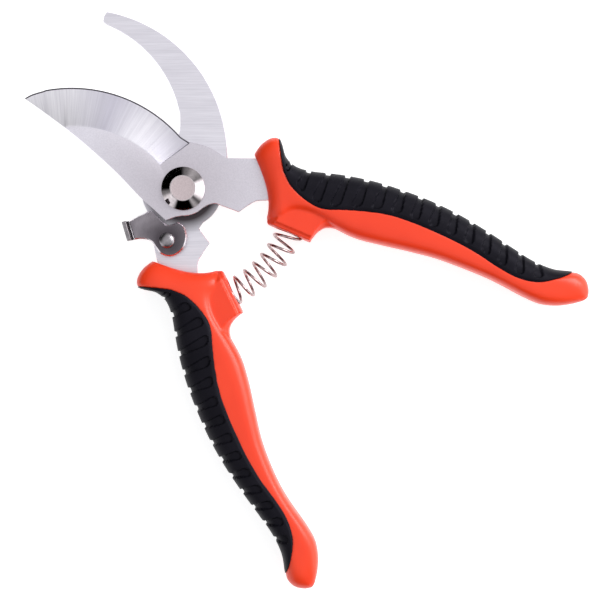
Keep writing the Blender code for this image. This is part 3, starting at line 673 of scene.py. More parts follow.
def latch_outline():
    body = spline(
        [(-6.6, -9.7), (-5.5, -12.2), (-6.3, -15.6), (-8.8, -18.5), (-12.2, -19.6),
         (-15.0, -19.0), (-17.0, -17.0), (-17.7, -14.2), (-18.1, -11.9), (-19.4, -10.3),
         (-21.5, -9.1), (-23.3, -8.5)],
        6,
    )
    fold = [(-22.2, -1.8), (-14.1, -1.75), (-13.5, -2.0), (-13.1, -2.8)]
    notch = spline([(-10.9, -8.4), (-10.1, -9.2), (-8.4, -9.6), (-7.2, -9.4)], 6)
    return body + fold + notch


def tab_section():
    """The tab's section as (distance outwards, z), and the look of the face after each corner."""
    low, top, edge = LATCH_LOW, TAB_TOP, TAB_EDGE
    centre = (-TAB_IN, low + TAB_FOLD_R)
    outside = arc(centre, TAB_FOLD_R, -90, 0, 10)
    inside = arc(centre, TAB_FOLD_R - TAB_T, -90, 0, 5)
    tip = [(outside[-1][0], top - edge), (outside[-1][0] - edge, top),
           (inside[-1][0] + edge, top), (inside[-1][0], top - edge)]
    root = -TAB_IN - TAB_ROOT
    section = [(root, low), *outside, *tip, *inside[::-1], (root, low + TAB_T)]
    # the inside of the fold takes look 2, where shade is painted near black
    return section, [0] * len(outside) + [3] * len(tip) + [2] * len(inside) + [0, 0]


def folded_tab():
    """The end of the latch, bent up along a round fold."""
    near, far = (Vector(end) for end in TAB_ENDS)
    along_fold = (far - near).normalized()
    outwards = Vector((along_fold.y, -along_fold.x))
    section, section_looks = tab_section()
    shape = Shape()
    length, edge = (far - near).length, TAB_EDGE
    loops = []
    centre_u = sum(u for u, z in section) / len(section)
    centre_z = sum(z for u, z in section) / len(section)
    for place, shrink in ((0.0, edge), (edge, 0.0), (length - edge, 0.0), (length, edge)):
        ring = []
        for u, z in section:
            du, dz = u - centre_u, z - centre_z
            reach = math.hypot(du, dz)
            u, z = u - du / reach * shrink, z - dz / reach * shrink
            at = near + along_fold * place + outwards * u
            ring.append((at.x, at.y, z))
        loops.append(shape.add(ring))
    count = len(section)
    for first, second in zip(loops, loops[1:]):
        for k in range(count):
            n = (k + 1) % count
            shape.face((first[k], first[n], second[n], second[k]), section_looks[k])
    shape.face(loops[0])
    shape.face(loops[-1])
    return shape


def joined(shapes):
    whole = Shape()
    for shape in shapes:
        start = len(whole.verts)
        whole.add(shape.verts)
        for face, look in zip(shape.faces, shape.looks):
            whole.face([start + k for k in face], look)
    return whole


def rivet_profile():
    seat, tail_top = LATCH_LOW + LATCH_T + GAP, COUNTER_LOW - GAP
    rim = seat + RIVET_RIM
    dome = [(RIVET_HEAD_R * math.sin(a), rim + (RIVET_TOP - rim) * math.cos(a))
            for a in [math.radians(10 * k) for k in range(1, 10)]]
    tail = [(RIVET_TAIL_R, tail_top), (RIVET_TAIL_R, tail_top - 0.25),
            (RIVET_TAIL_R - 0.4, RIVET_LOW + 0.15), (RIVET_TAIL_R - 0.7, RIVET_LOW)]
    return [(0, RIVET_TOP), *dome, (RIVET_HEAD_R - 0.15, seat), (RIVET_R, seat),
            (RIVET_R, tail_top), *tail, (0, RIVET_LOW)]


def make_latch(looks):
    turn = -OPEN_ANGLE / 2
    # the broken edges take look 1, a painted highlight
    body = plate(latch_outline(), LATCH_LOW, LATCH_LOW + LATCH_T, LATCH_BREAK, 1)
    steels = [looks["latch"], looks["latch_edge_highlight"], looks["latch_fold_shade"], looks["latch_tab"]]
    lever = built("latch_lever_plate", body, turn, looks=steels)
    tab = built("tab", folded_tab(), turn, looks=steels)
    combined(lever, tab, "UNION")
    bored(lever, RIVET_R + GAP, opened(COUNTER, RIVET_AT))
    finished(lever, "latch", "latch_lever")
    at = opened(COUNTER, RIVET_AT)
    washer = washer_profile(RIVET_R + GAP, LATCH_WASHER_R, LATCH_WASHER_LOW, LATCH_WASHER_HIGH)
    obj = built("latch_washer_zinc", closed_lathe(washer, 48), at=at, looks=[looks["zinc"]])
    finished(obj, BODY[COUNTER], "latch_washer")
    rivet = built("latch_rivet_domed", lathe(rivet_profile(), 64), at=at, looks=[looks["rivet"]])
    finished(rivet, BODY[COUNTER], "latch_rivet")


# ---- handles ----


class Rung:
    """The handle's section on one plane that crosses it, at a fractional rung number."""

    def __init__(self, side, q):
        values = [along(column, q) for column in zip(*RUNGS)]
        self.side = side
        self.inner = list(values[2:4])
        shift = self.waist(self.inner[0])
        self.inner[1] += shift
        self.width = math.dist(self.inner, values[:2])
        self.across = [(o - i) / self.width for o, i in zip(values[:2], self.inner)]
        self.grip = (values[4] - GRIP_FOLLOWS * shift) * self.grip_share(q)
        self.half = values[5] * self.roll(q)
        self.power = values[6]
        self.inner_power = max(self.power, INNER_SQUARE - SQUARE_FADE * max(0, q - SQUARE_TO))
        self.bow = FRONT_BOW * max(0, 1 - q / BOW_RUNGS)

    def waist(self, s):
        low, high = WAIST
        if not low < s < high:
            return 0.0
        return -self.side * WAIST_SHIFT * math.sin(math.pi * (s - low) / (high - low)) ** 2

    def grip_share(self, q):
        """How much of the grip's width is there: it narrows to nothing at both ends."""
        if not GRIP_FROM < q < GRIP_TO:
            return 0.0
        start = max(0.0, (GRIP_FULL - q) / (GRIP_FULL - GRIP_FROM))
        end = max(0.0, (q - GRIP_FADES) / (GRIP_TO - GRIP_FADES))
        return math.sqrt(1 - max(start, end) ** 2)

    def roll(self, q):
        t = max(0.0, 1 - q / ROLL_RUNGS)
        return 1 - FRONT_ROLL * (1 - math.sqrt(1 - t * t))

    def height(self, x):
        v = np.clip(x / self.width, 0, 1)
        power = np.where(v < 0.5, self.inner_power, self.power)
        return self.half * (1 - abs(2 * v - 1) ** power) ** (1 / power)

    def line(self, start, steps):
        """Equal steps over the upper face from x = start to the outer side: x, z and normals."""
        t = np.linspace(0, 1, 240)
        share = (1 - np.cos(np.pi * t)) / 2 if start == 0 else np.sin(np.pi / 2 * t)
        x = start + (self.width - start) * share
        z = self.height(x)
        run = np.concatenate([[0], np.cumsum(np.hypot(np.diff(x), np.diff(z)))])
        wanted = np.linspace(0, run[-1], steps + 1)
        x, z = np.interp(wanted, run, x), np.interp(wanted, run, z)
        dx, dz = np.gradient(x), np.gradient(z)
        length = np.maximum(np.hypot(dx, dz), 1e-6)
        normal_x, normal_z = -dz / length, dx / length
        normal_x[-1], normal_z[-1] = 1.0, 0.0
        if start == 0:
            normal_x[0], normal_z[0] = -1.0, 0.0
        return x, z, normal_x, normal_z, wanted

    def plan(self, x):
        """The point (s, d) at distance x from the inner side."""
        return self.inner[0] + self.across[0] * x, self.inner[1] + self.across[1] * x

    def place(self, x, z):
        share = min(1, max(0, x / self.width)) ** BOW_SKEW
        hollow = self.bow * math.sin(math.pi * share)
        s, d = self.plan(x)
        point = (s + abs(self.across[1]) * hollow, d + abs(self.across[0]) * hollow)
        return (*handle_point(self.side, point), MID_Z + z)


def stepped(low, high, value):
    return np.array([smooth_step(low, high, v) for v in value])


def core_loop(rung):
    """The hard handle's section, sunk where the grip covers it."""
    x, z, normal_x, normal_z, run = rung.line(0, 44)
    start = np.interp(rung.width - rung.grip, x, run)
    sunk = RECESS * stepped(RECESS_FROM, RECESS_TO, run - start) if rung.grip > 0 else 0 * run
    x, z = x - normal_x * sunk, z - normal_z * sunk
    upper = [(float(a), float(max(b, 0.0))) for a, b in zip(x, z)]
    upper[0], upper[-1] = (upper[0][0], 0.0), (upper[-1][0], 0.0)
    return upper + [(a, -b) for a, b in upper[-2:0:-1]]


def leaning_prism(side, foot, top, shoulder, half):
    """A body with outline foot up to the shoulder's height, drawn in to outline top above it."""
    shape = Shape()
    levels = [(top, -half), (foot, -shoulder), (foot, shoulder), (top, half)]
    loops = [shape.add([(*handle_point(side, p), MID_Z + z) for p in line]) for line, z in levels]
    return shape.capped_loft(loops)


def core_shape(side):
    """Ladder of sections, spring housing and its lip, as closed bodies that overlap."""
    shape = Shape()
    start = [ROLL_RUNGS * (1 - math.cos(math.pi / 2 * k / 16)) for k in range(17)]
    places = start + list(np.linspace(ROLL_RUNGS, len(RUNGS) - 1, 330))[1:]
    loops = []
    for q in places:
        rung = Rung(side, q)
        loops.append(shape.add([rung.place(x, z) for x, z in core_loop(rung)]))
    shape.loft(loops)
    for loop in (loops[0], loops[-1]):
        for k in range(len(loop) // 2):
            upper = (loop[k], loop[k + 1])
            shape.face((*upper, loop[-k - 1], loop[-k % len(loop)]))
    return joined([shape, housing_shape(side), lip_shape(side)])


def housing_shape(side):
    """The spring housing, with a hollow rear that runs out into the handle."""
    rear = spline([(48.3, 1.7), (49.2, 4.6), (51.4, 7.2), (56.0, 8.6)], 10)
    foot = [(32.1, 1.7), *rear, (57.0, 11.0), (48.0, 12.2), (38.0, 11.0), (33.4, 6.0)]
    rear_top = spline([(47.9, 2.0), (48.3, 5.4), (49.8, 8.8), (53.4, 11.6)], 10)
    top = [(34.2, 2.0), *rear_top, (54.0, 13.2), (47.0, 14.2), (38.0, 13.0), (35.4, 8.0)]
    return leaning_prism(side, foot, top, HOUSING_SHOULDER, HOUSING_HALF)


def lip_shape(side):
    """The stepped lip round the housing's face, where the two handles meet."""
    foot = [(31.3, 1.0), (31.9, BOSS_FACE_D), (48.2, BOSS_FACE_D), (48.2, 2.6), (36.0, 4.0),
            (31.7, 2.6)]
    top = [(LIP_FRONT, 1.4), (LIP_FRONT, BOSS_FACE_D + LIP_EDGE)]
    top += inset(foot, LIP_EDGE)[2:5] + [(LIP_FRONT, 2.8)]
    return leaning_prism(side, foot, top, LIP_SHOULDER, LIP_HALF)


def pocket_shape(side):
    """The round hole for the spring, bent about the pivot axis."""
    shape = Shape()
    loops = []
    sides, steps = 48, 18
    for i in range(steps + 1):
        turn = math.radians((POCKET_DEPTH + POCKET_MOUTH) * i / steps - POCKET_MOUTH)
        loop = []
        for k in range(sides):
            out, z = polar((0, 0), POCKET_R, 360 * k / sides)
            reach = SPRING_PATH_R + out
            point = handle_point(side, (reach * math.cos(turn), reach * math.sin(turn)))
            loop.append((*point, MID_Z + z))
        loops.append(shape.add(loop))
    return shape.capped_loft(loops)


def make_core(side, look):
    name = HALF[side]
    degrees = side * OPEN_ANGLE / 2
    core = built(f"{name}_handle_moulded", core_shape(side), degrees, looks=[look])
    remesh = core.modifiers.new("moulded", "REMESH")
    remesh.mode = "VOXEL"
    remesh.voxel_size = VOXEL * MM
    remesh.use_smooth_shade = True
    soften = core.modifiers.new("soften", "SMOOTH")
    soften.factor, soften.iterations = SOFTEN
    applied(core, crease=60)
    combined(core, built("pocket", pocket_shape(side), degrees), "DIFFERENCE", crease=50)
    finished(core, BODY[side], f"{name}_handle")


class OuterEdge:
    """The handle's outer line and the grip's lower boundary, as d for each s."""

    def __init__(self, side):
        places = np.linspace(GRIP_FROM + EDGE_TRIM, EDGE_LAST, 120)
        rungs = [Rung(side, q) for q in places]
        self.s, self.d = zip(*[r.plan(r.width) for r in rungs])
        self.low_s, self.low_d = zip(*[r.plan(r.width - r.grip) for r in rungs])

    def outer(self, s):
        return float(np.interp(s, self.s, self.d))

    def boundary(self, s):
        return float(np.interp(s, self.low_s, self.low_d))


def relief(edge, s, d):
    """Height of the grip at a plan point: ribs, with tongue-shaped grooves between them."""
    outer = edge.outer(s)
    bottom = edge.boundary(s) + GROOVE_MARGIN
    best = RIB_RISE
    for k in range(GROOVES):
        centre = GROOVE_FIRST + GROOVE_PITCH * k
        if abs(s - centre) > GROOVE_PITCH:
            continue
        drift = DRIFT_FIRST + DRIFT_GAIN * (centre - DRIFT_FROM)
        length = max(1.0, outer - bottom)
        if k == 0:
            length = min(length, FIRST_LENGTH)
        inwards = min(1.0, max(0.0, (outer - d) / length))
        middle = centre + drift * inwards
        half = GROOVE_OUT_HALF + (GROOVE_IN_HALF - GROOVE_OUT_HALF) * inwards
        if k == 0:
            half *= FIRST_SHARE
        # The far end is round: past the start of the round the distance is from its centre
        over = (outer - d) - (length - half)
        away = math.hypot(s - middle, over) if over > 0 else abs(s - middle)
        depth = 1 - smooth_step(half - GROOVE_WALL, half, away)
        best = min(best, RIB_RISE + (GROOVE_FLOOR - RIB_RISE) * depth)
    return best


def grip_shape(side):
    edge = OuterEdge(side)
    shape = Shape()
    loops = []
    for q in np.linspace(GRIP_FROM + GRIP_TRIM, GRIP_TO - GRIP_TRIM, GRIP_STATIONS):
        rung = Rung(side, float(q))
        x, z, normal_x, normal_z, run = rung.line(rung.width - rung.grip - GRIP_LAP, GRIP_STEPS)
        lip = np.sqrt(1 - (1 - np.clip(run / LIP_RUN, 0, 1)) ** 2)
        base = -LIP_SINK + (LIP_SINK + LIP_RISE) * lip
        blend_in = stepped(LIP_RUN, LIP_RUN + RIB_RUN, run)
        outer, inner = [], []
        for k in range(GRIP_STEPS + 1):
            rise = base[k] + (relief(edge, *rung.plan(x[k])) - LIP_RISE) * blend_in[k]
            skin = -LIP_SINK - LIP_T - (GRIP_SKIN - LIP_SINK) * blend_in[k]
            outer.append((x[k] + normal_x[k] * rise, z[k] + normal_z[k] * rise))
            inner.append((x[k] + normal_x[k] * skin, z[k] + normal_z[k] * skin))
        line = outer + [(a, -b) for a, b in outer[-2::-1]]
        back = inner + [(a, -b) for a, b in inner[-2::-1]]
        loops.append(shape.add([rung.place(float(a), float(b)) for a, b in line + back[::-1]]))
    shape.loft(loops)
    for loop in (loops[0], loops[-1]):
        for k in range(len(loop) // 2 - 1):
            shape.face((loop[k], loop[k + 1], loop[-k - 2], loop[-k - 1]))
    return shape


def make_handles(looks):
    for side in (CUTTING, COUNTER):
        make_core(side, looks["orange"])
        name = HALF[side]
        degrees, rubber = side * OPEN_ANGLE / 2, [looks["rubber"]]
        grip = built(f"{name}_grip_ribbed", grip_shape(side), degrees, crease=50, looks=rubber)
        finished(grip, BODY[side], f"{name}_grip")


# ---- spring ----


def spring_line():
    """Open coils along an arc about the pivot axis, with a closer turn at each end."""
    first, last = SPRING_TURNS
    count = round((last - first + 2 * CLOSED_TURNS) * POINTS_PER_TURN)
    points = []
    for i in range(count + 1):
        turn = first - CLOSED_TURNS + i / POINTS_PER_TURN
        open_turn = min(max(turn, first), last)
        degrees = SPRING_START - SPRING_PITCH * open_turn - CLOSED_PITCH * (turn - open_turn)
        phase = 2 * math.pi * turn
        radius = SPRING_PATH_R + SPRING_COIL_R * math.cos(phase)
        points.append(Vector((*polar((0, 0), radius, degrees),
                              MID_Z + SPRING_COIL_R * math.sin(phase))))
    return points


def tube(points, radius, sides):
    """A round wire along a line, with rounded ends."""
    shape = Shape()
    loops = []
    up = Vector((0, 0, 1))
    last = len(points) - 1
    for i, point in enumerate(points):
        forward = (points[min(i + 1, last)] - points[max(i - 1, 0)]).normalized()
        side = forward.cross(up).normalized()
        up = side.cross(forward).normalized()
        size = radius * (0.75 if i in (0, last) else 1.0)
        ring = []
        for k in range(sides):
            turn = 2 * math.pi * k / sides
            ring.append(tuple(point + (side * math.cos(turn) + up * math.sin(turn)) * size))
        loops.append(shape.add(ring))
    return shape.capped_loft(loops)


def make_spring(look):
    spring = built("return_spring_wire", tube(spring_line(), SPRING_WIRE_R, 14), looks=[look])
    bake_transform(spring)
    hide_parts("return_spring")


# ---- materials ----


class Nodes:
    """Puts a node tree together. A value is a number, a tuple or another node's output."""

    def __init__(self, tree):
        self.tree = tree

    def node(self, kind, **settings):
        made = self.tree.nodes.new(kind)
        for key, value in settings.items():
            setattr(made, key, value)
        return made

    def put(self, socket, value):
        if isinstance(value, bpy.types.NodeSocket):
            self.tree.links.new(value, socket)
        else:
            socket.default_value = value

    def math(self, operation, a, b=None, c=None, vector=False):
        kind = "ShaderNodeVectorMath" if vector else "ShaderNodeMath"
        made = self.node(kind, operation=operation)
        for socket, value in zip(made.inputs, (a, b, c)):
            if value is not None:
                self.put(socket, value)
        return made.outputs[0]

    def spread(self, value, low, high, from_low=0.3, from_high=0.7, **settings):
        """The value's span, which is that of most noise unless given, as low to high."""
        made = self.node("ShaderNodeMapRange", **settings)
        self.put(made.inputs["Value"], value)
        limits = (from_low, from_high, low, high)
        for name, limit in zip(("From Min", "From Max", "To Min", "To Max"), limits):
            made.inputs[name].default_value = limit
        return made.outputs[0]

    def mix(self, share, first, second, **settings):
        made = self.node("ShaderNodeMix", data_type="RGBA", **settings)
        self.put(made.inputs["Factor"], share)
        colours = [s for s in made.inputs if s.type == "RGBA"]
        for socket, value in zip(colours, (first, second)):
            self.put(socket, (*value, 1.0) if isinstance(value, tuple) else value)
        return [s for s in made.outputs if s.type == "RGBA"][0]


class Look(Nodes):
    """A Principled material. Patterns are in millimetres."""

    def __init__(self, name, roughness=0.4, metallic=0.0, **sockets):
        self.made = bpy.data.materials.new(name)
        self.made.use_nodes = True
        super().__init__(self.made.node_tree)
        self.shader = self.tree.nodes["Principled BSDF"]
        self.shader.inputs["Roughness"].default_value = roughness
        self.shader.inputs["Metallic"].default_value = metallic
        for socket, value in sockets.items():
            self.shader.inputs[socket.replace("_", " ")].default_value = value
        coordinates = self.node("ShaderNodeTexCoord").outputs["Object"]
        self.place = self.math("MULTIPLY", coordinates, (1 / MM,) * 3, vector=True)

    def axes(self, degrees=0.0, centre=(0, 0)):
        """The place, moved to centre and turned in plan so that x runs along degrees."""
        mapping = self.node("ShaderNodeMapping", vector_type="TEXTURE")
        self.put(mapping.inputs["Vector"], self.place)
        mapping.inputs["Location"].default_value = (*centre, 0)
        mapping.inputs["Rotation"].default_value = (0, 0, math.radians(degrees))
        return mapping.outputs[0]

    def scaled(self, place, scales):
        return self.math("MULTIPLY", place, scales, vector=True)

    def noise(self, place, scale, detail=2.0, rough=0.5):
        made = self.node("ShaderNodeTexNoise")
        self.put(made.inputs["Vector"], place)
        made.inputs["Scale"].default_value = scale
        made.inputs["Detail"].default_value = detail
        made.inputs["Roughness"].default_value = rough
        return made.outputs["Fac"]

    def polar_place(self, centre, length):
        """The place as (turn round the centre times length, radius, z), and those two alone."""
        separate = self.node("ShaderNodeSeparateXYZ")
        self.put(separate.inputs[0], self.axes(0, centre))
        x, y, z = separate.outputs
        turn = self.math("MULTIPLY", self.math("ARCTAN2", y, x), length)
        radius = self.math("SQRT", self.math("ADD", self.math("MULTIPLY", x, x),
                                             self.math("MULTIPLY", y, y)))
        combine = self.node("ShaderNodeCombineXYZ")
        for socket, value in zip(combine.inputs, (turn, radius, z)):
            self.put(socket, value)
        return combine.outputs[0], turn, radius

    def bump(self, height, distance, strength=1.0):
        """Adds a relief of that many millimetres, over any relief that is there."""
        made = self.node("ShaderNodeBump")
        made.inputs["Distance"].default_value = distance * MM
        made.inputs["Strength"].default_value = strength
        self.put(made.inputs["Height"], height)
        normal = self.shader.inputs["Normal"]
        if normal.is_linked:
            self.put(made.inputs["Normal"], normal.links[0].from_socket)
        self.put(normal, made.outputs[0])

    def colour(self, value):
        self.put(self.shader.inputs["Base Color"], value)

    def roughness(self, value):
        self.put(self.shader.inputs["Roughness"], value)


def satin_steel():
    """Fine grain along the blade, with a few hairline scratches, duller round the bolt."""
    look = Look("satin_steel", metallic=1.0)
    place = look.axes(OPEN_ANGLE / 2 + 90)
    fine = look.noise(look.scaled(place, (0.25, 4.0, 1.0)), 2.2, 3.0)
    speck = look.noise(look.place, 2.6, 2.0)
    hair = look.noise(look.scaled(place, (0.05, 3.5, 1.0)), 1.3, 1.0)
    share = look.spread(speck, 0, 1)
    _, _, from_bolt = look.polar_place((0, 0), 1.0)
    clean = look.mix(share, STEEL_DARK, STEEL_LIGHT)
    worn = look.mix(share, WORN_DARK, WORN_LIGHT)
    look.colour(look.mix(look.spread(from_bolt, 0, 1, *HANDLED), worn, clean))
    look.roughness(look.spread(fine, 0.34, 0.46))
    look.bump(speck, 0.02, 0.5)
    look.bump(hair, 0.01, 0.4)
    return look.made


def hook_steel():
    """Ground flat with long fine lines, and the cutting blade's shadow painted dark round the
    pivot.
    """
    look = Look("hook_steel", metallic=1.0)
    place = look.axes(HOOK_LINES)
    lines = look.noise(look.scaled(place, (0.04, 1.0, 1.0)), 1.7, 3.0, 0.6)
    broad = look.noise(look.scaled(place, (0.03, 0.4, 1.0)), 0.8, 2.0)
    tone = look.math("MULTIPLY", look.spread(lines, 0.6, 1), look.spread(broad, 0.8, 1))
    bright = look.mix(tone, (0.56, 0.54, 0.6), (0.86, 0.84, 0.9))
    _, _, radius = look.polar_place((0, 0), 1.0)
    # painted shadow: the counter blade is coloured dark near the pivot, where the cutting blade
    # shades it
    shadow_and_rub = look.spread(radius, 0.0, 1.0, *CUTTING_SHADOW_RADII)
    look.colour(look.mix(shadow_and_rub, (0.06, 0.05, 0.055), bright))
    look.roughness(look.spread(lines, 0.3, 0.44))
    look.bump(lines, 0.02, 0.5)
    return look.made


def ground_steel():
    """Hollow ground: fine lines that run square to the cutting edge, with the reflection's shade
    painted darkest mid-way along it and darker again at the heel.
    """
    look = Look("ground_steel", metallic=1.0)
    place, turn, _ = look.polar_place(opened(CUTTING, EDGE_CENTRE), EDGE_R)
    lines = look.noise(look.scaled(place, (1.2, 0.02, 0.1)), 1.6, 3.0, 0.6)
    broad = look.noise(look.scaled(place, (0.25, 0.02, 0.1)), 1.0, 2.0)
    # painted reflection: the grind is coloured darker mid-way along the edge, as its lines catch
    # less light there
    middle = look.math("ABSOLUTE", look.math("SUBTRACT", turn, GRIND_SHADE_AT))
    band = look.spread(middle, 0.0, 1.0, 0.5, GRIND_FADE)
    tone = look.math("MULTIPLY", look.spread(lines, 0.6, 1), look.spread(broad, 0.82, 1))
    # painted shade: the grind is coloured darker towards the heel
    tone = look.math("MULTIPLY", tone, look.spread(turn, 0.3, 1, *GRIND_HEEL_SHADE))
    base = look.mix(band, (0.68, 0.66, 0.75), (0.98, 0.965, 1.0))
    look.colour(look.mix(tone, (0.5, 0.48, 0.55), base))
    look.roughness(look.spread(lines, 0.34, 0.45))
    look.bump(lines, 0.03, 0.6)
    return look.made


def honed_steel():
    look = Look("honed_steel", metallic=1.0)
    place, _, _ = look.polar_place(opened(CUTTING, EDGE_CENTRE), EDGE_R)
    lines = look.noise(look.scaled(place, (0.4, 6.0, 0.2)), 1.5, 2.0)
    look.colour(look.mix(look.spread(lines, 0, 1), (0.05, 0.045, 0.055), (0.11, 0.1, 0.12)))
    look.roughness(look.spread(lines, 0.4, 0.55))
    return look.made


def plated(name, dark, light, rough, scale=1.2):
    """Plated metal with a faint cloud in its colour and gloss."""
    look = Look(name, metallic=1.0)
    cloud = look.noise(look.place, scale, 3.0)
    look.colour(look.mix(look.spread(cloud, 0, 1), dark, light))
    look.roughness(look.spread(cloud, rough * 0.8, rough * 1.25))
    look.bump(look.noise(look.place, 5.0, 2.0), 0.003, 0.2)
    return look.made


def facing_steel():
    """The bolt's flat top: satin, with faint turning marks round the axis."""
    look = Look("bolt_facing", metallic=1.0)
    place, _, _ = look.polar_place((0, 0), 3.0)
    rings = look.noise(look.scaled(place, (0.1, 4.0, 0.1)), 2.0, 2.0)
    speck = look.noise(look.place, 3.0, 2.0)
    look.colour(look.mix(look.spread(speck, 0, 1), (0.57, 0.48, 0.49), (0.7, 0.6, 0.61)))
    look.roughness(look.spread(rings, 0.3, 0.42))
    look.bump(rings, 0.015, 0.5)
    return look.made


def latch_steel():
    """Darkened plate, rubbed lighter towards the folded end."""
    look = Look("latch_steel", metallic=1.0)
    place = look.axes(30)
    brushed = look.noise(look.scaled(place, (0.2, 3.0, 1.0)), 1.8, 3.0)
    cloud = look.noise(look.place, 0.22, 2.0)
    _, _, away = look.polar_place(opened(COUNTER, RIVET_AT), 1.0)
    # here the share is wear: the latch is lighter away from the rivet
    shadow_and_rub = look.spread(away, 0.22, 1.0, *LATCH_WORN)
    tone = look.math("MULTIPLY", look.spread(brushed, 0.88, 1), look.spread(cloud, 0.7, 1))
    tone = look.math("MULTIPLY", tone, shadow_and_rub)
    look.colour(look.mix(tone, (0.045, 0.036, 0.045), (0.33, 0.3, 0.33)))
    look.roughness(look.spread(brushed, 0.24, 0.38))
    look.bump(brushed, 0.015, 0.5)
    return look.made


def orange_plastic():
    look = Look("orange_plastic", roughness=0.36, Specular_IOR_Level=0.45)
    cloud = look.noise(look.place, 0.06, 2.0)
    fine = look.noise(look.place, 3.5, 2.0)
    scuffs = look.noise(look.scaled(look.axes(-60), (0.12, 2.2, 1.0)), 0.9, 2.0)
    look.colour(look.mix(look.spread(cloud, 0, 1), ORANGE_DEEP, ORANGE))
    gloss = look.math("ADD", look.spread(fine, 0.3, 0.4), look.spread(scuffs, 0, 0.05, 0.6, 0.8))
    look.roughness(gloss)
    look.bump(fine, 0.012, 0.5)
    return look.made


def grip_rubber():
    look = Look("grip_rubber", Specular_IOR_Level=0.12, Specular_Tint=(0.88, 0.84, 1.0, 1.0))
    fine = look.noise(look.place, 4.0, 3.0)
    cloud = look.noise(look.place, 0.12, 2.0)
    base = look.mix(look.spread(cloud, 0, 1), RUBBER_DARK, RUBBER)
    dust = look.noise(look.place, 1.1, 4.0, 0.65)
    worn = look.spread(dust, 0, 0.35, 0.6, 0.8)
    look.colour(look.mix(worn, base, RUBBER_WORN))
    look.roughness(look.spread(fine, 0.42, 0.56))
    look.bump(fine, 0.03, 0.5)
    return look.made


def spring_steel():
    look = Look("spring_steel", metallic=1.0)
    drawn = look.noise(look.place, 1.4, 3.0)
    look.colour(look.mix(look.spread(drawn, 0, 1), (0.3, 0.2, 0.2), (0.6, 0.5, 0.5)))
    look.roughness(look.spread(drawn, 0.12, 0.24))
    return look.made


def make_looks():
    return {
        "satin": satin_steel(),
        "hook": hook_steel(),
        "ground": ground_steel(),
        "honed": honed_steel(),
        "chrome": plated("chrome", (0.52, 0.47, 0.48), (0.64, 0.59, 0.6), 0.06),
        "facing": facing_steel(),
        "zinc": plated("zinc_plate", (0.42, 0.42, 0.44), (0.6, 0.6, 0.63), 0.32, 0.8),
        "latch": latch_steel(),
        # painted highlight: the latch's broken edges are coloured much lighter than the plate
        "latch_edge_highlight": plated("latch_edge_highlight", (0.5, 0.47, 0.5), (0.8, 0.76, 0.8), 0.25),
        "latch_tab": plated("latch_tab", (0.2, 0.19, 0.2), (0.36, 0.34, 0.355), 0.34),
        # painted shade: the inside of the tab's fold is coloured near black
        "latch_fold_shade": plated("latch_fold_shade", (0.012, 0.01, 0.012), (0.03, 0.027, 0.03), 0.45),
        "rivet": plated("rivet_steel", (0.26, 0.24, 0.26), (0.36, 0.34, 0.36), 0.3, 0.6),
        "orange": orange_plastic(),
        "rubber": grip_rubber(),
        "spring": spring_steel(),
    }


# ---- studio ----


def view_direction(degrees):
    """A level direction in the frame, from its direction in the view, anticlockwise from right."""
    return polar((0, 0), 1.0, degrees - VIEW_TURN)


def make_floor():
    mesh = bpy.data.meshes.new("floor")
    bm = bmesh.new()
    bmesh.ops.create_grid(bm, x_segments=FLOOR_CELLS, y_segments=FLOOR_CELLS, size=FLOOR_SIZE)
    bm.to_mesh(mesh)
    bm.free()
    floor = bpy.data.objects.new("floor", mesh)
    bpy.context.scene.collection.objects.link(floor)
    look = Look("floor_paper", roughness=0.9, Specular_IOR_Level=0.1)
    look.shader.inputs["Emission Color"].default_value = (1.0, 1.0, 1.0, 1.0)
    look.shader.inputs["Emission Strength"].default_value = FLOOR_GLOW
    tone = look.noise(look.place, 0.01, 2.0)
    look.colour(look.mix(look.spread(tone, 0, 1), (0.52, 0.52, 0.525), (0.54, 0.54, 0.54)))
    mesh.materials.append(look.made)
    floor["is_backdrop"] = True
    floor.location.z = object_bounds()[0].z


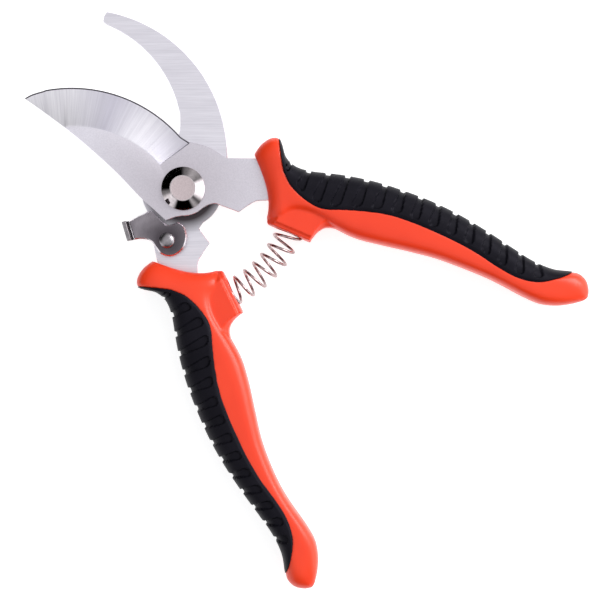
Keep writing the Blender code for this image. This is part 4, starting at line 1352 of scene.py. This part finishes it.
def make_world():
    """A studio: an even panel overhead, and light and dark stands all round the horizon."""
    world = bpy.data.worlds.new("studio")
    bpy.context.scene.world = world
    world.use_nodes = True
    sky = Nodes(world.node_tree)
    direction = sky.node("ShaderNodeSeparateXYZ")
    sky.put(direction.inputs[0], sky.node("ShaderNodeTexCoord").outputs["Generated"])
    turn = sky.math("ARCTAN2", direction.outputs["Y"], direction.outputs["X"])
    share = sky.math("MULTIPLY_ADD", turn, 0.5 / math.pi, 1 + VIEW_TURN / 360)
    ramp = sky.node("ShaderNodeValToRGB")
    ramp.color_ramp.interpolation = "EASE"
    elements = ramp.color_ramp.elements
    elements[0].position, elements[1].position = 0.0, 1.0
    for degrees, _ in STANDS[1:-1]:
        elements.new(degrees / 360)
    for element, (_, value) in zip(elements, STANDS):
        element.color = (value, value, value * COOL, 1.0)
    sky.put(ramp.inputs["Fac"], sky.math("FRACT", share))

    def blended(below, brightness, heights, blend="MIX"):
        """Goes from what's below to an even brightness, between two heights."""
        height = direction.outputs["Z"]
        rise = sky.spread(height, 0, 1, *heights, interpolation_type="SMOOTHSTEP")
        even = (brightness, brightness, brightness * COOL)
        return sky.mix(rise, below, even, blend_type=blend)

    walls = blended(ramp.outputs["Color"], WALL_MOST, WALL_FROM, "DARKEN")
    sky.put(sky.tree.nodes["Background"].inputs["Color"], blended(walls, PANEL, PANEL_FROM))


def make_light(name, degrees, distance, height, size, power):
    light = bpy.data.lights.new(name, "AREA")
    light.size = size
    light.energy = power
    obj = bpy.data.objects.new(name, light)
    bpy.context.scene.collection.objects.link(obj)
    x, y = view_direction(degrees)
    low, high = CAD_BOX
    centre = (low + high) / 2
    obj.location = (centre.x + x * distance, centre.y + y * distance, height)
    aim = (centre - obj.location).normalized()
    obj.rotation_euler = aim.to_track_quat("-Z", "Y").to_euler()


def make_camera():
    camera = bpy.data.cameras.new("camera")
    camera.sensor_width = SENSOR
    obj = bpy.data.objects.new("camera", camera)
    bpy.context.scene.collection.objects.link(obj)
    obj.location = (CAMERA_AT[0] * MM, CAMERA_AT[1] * MM, (CAMERA_HEIGHT + VIEW_PLANE) * MM)
    camera.lens = SENSOR * CAMERA_HEIGHT / VIEW_WIDTH
    obj.rotation_euler = Euler((0, 0, math.radians(-VIEW_TURN)))
    camera.clip_start, camera.clip_end = CLIP
    bpy.context.scene.camera = obj


def main():
    looks = make_looks()
    make_blades(looks)
    make_pivot(looks)
    make_latch(looks)
    make_handles(looks)
    make_spring(looks["spring"])
    make_floor()
    make_world()
    make_light("key", LIGHT_FROM, **KEY)
    make_light("fill", LIGHT_FROM + FILL_TURN, **FILL)
    make_camera()
    bpy.context.scene.view_settings.view_transform = "Standard"
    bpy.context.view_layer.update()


main()
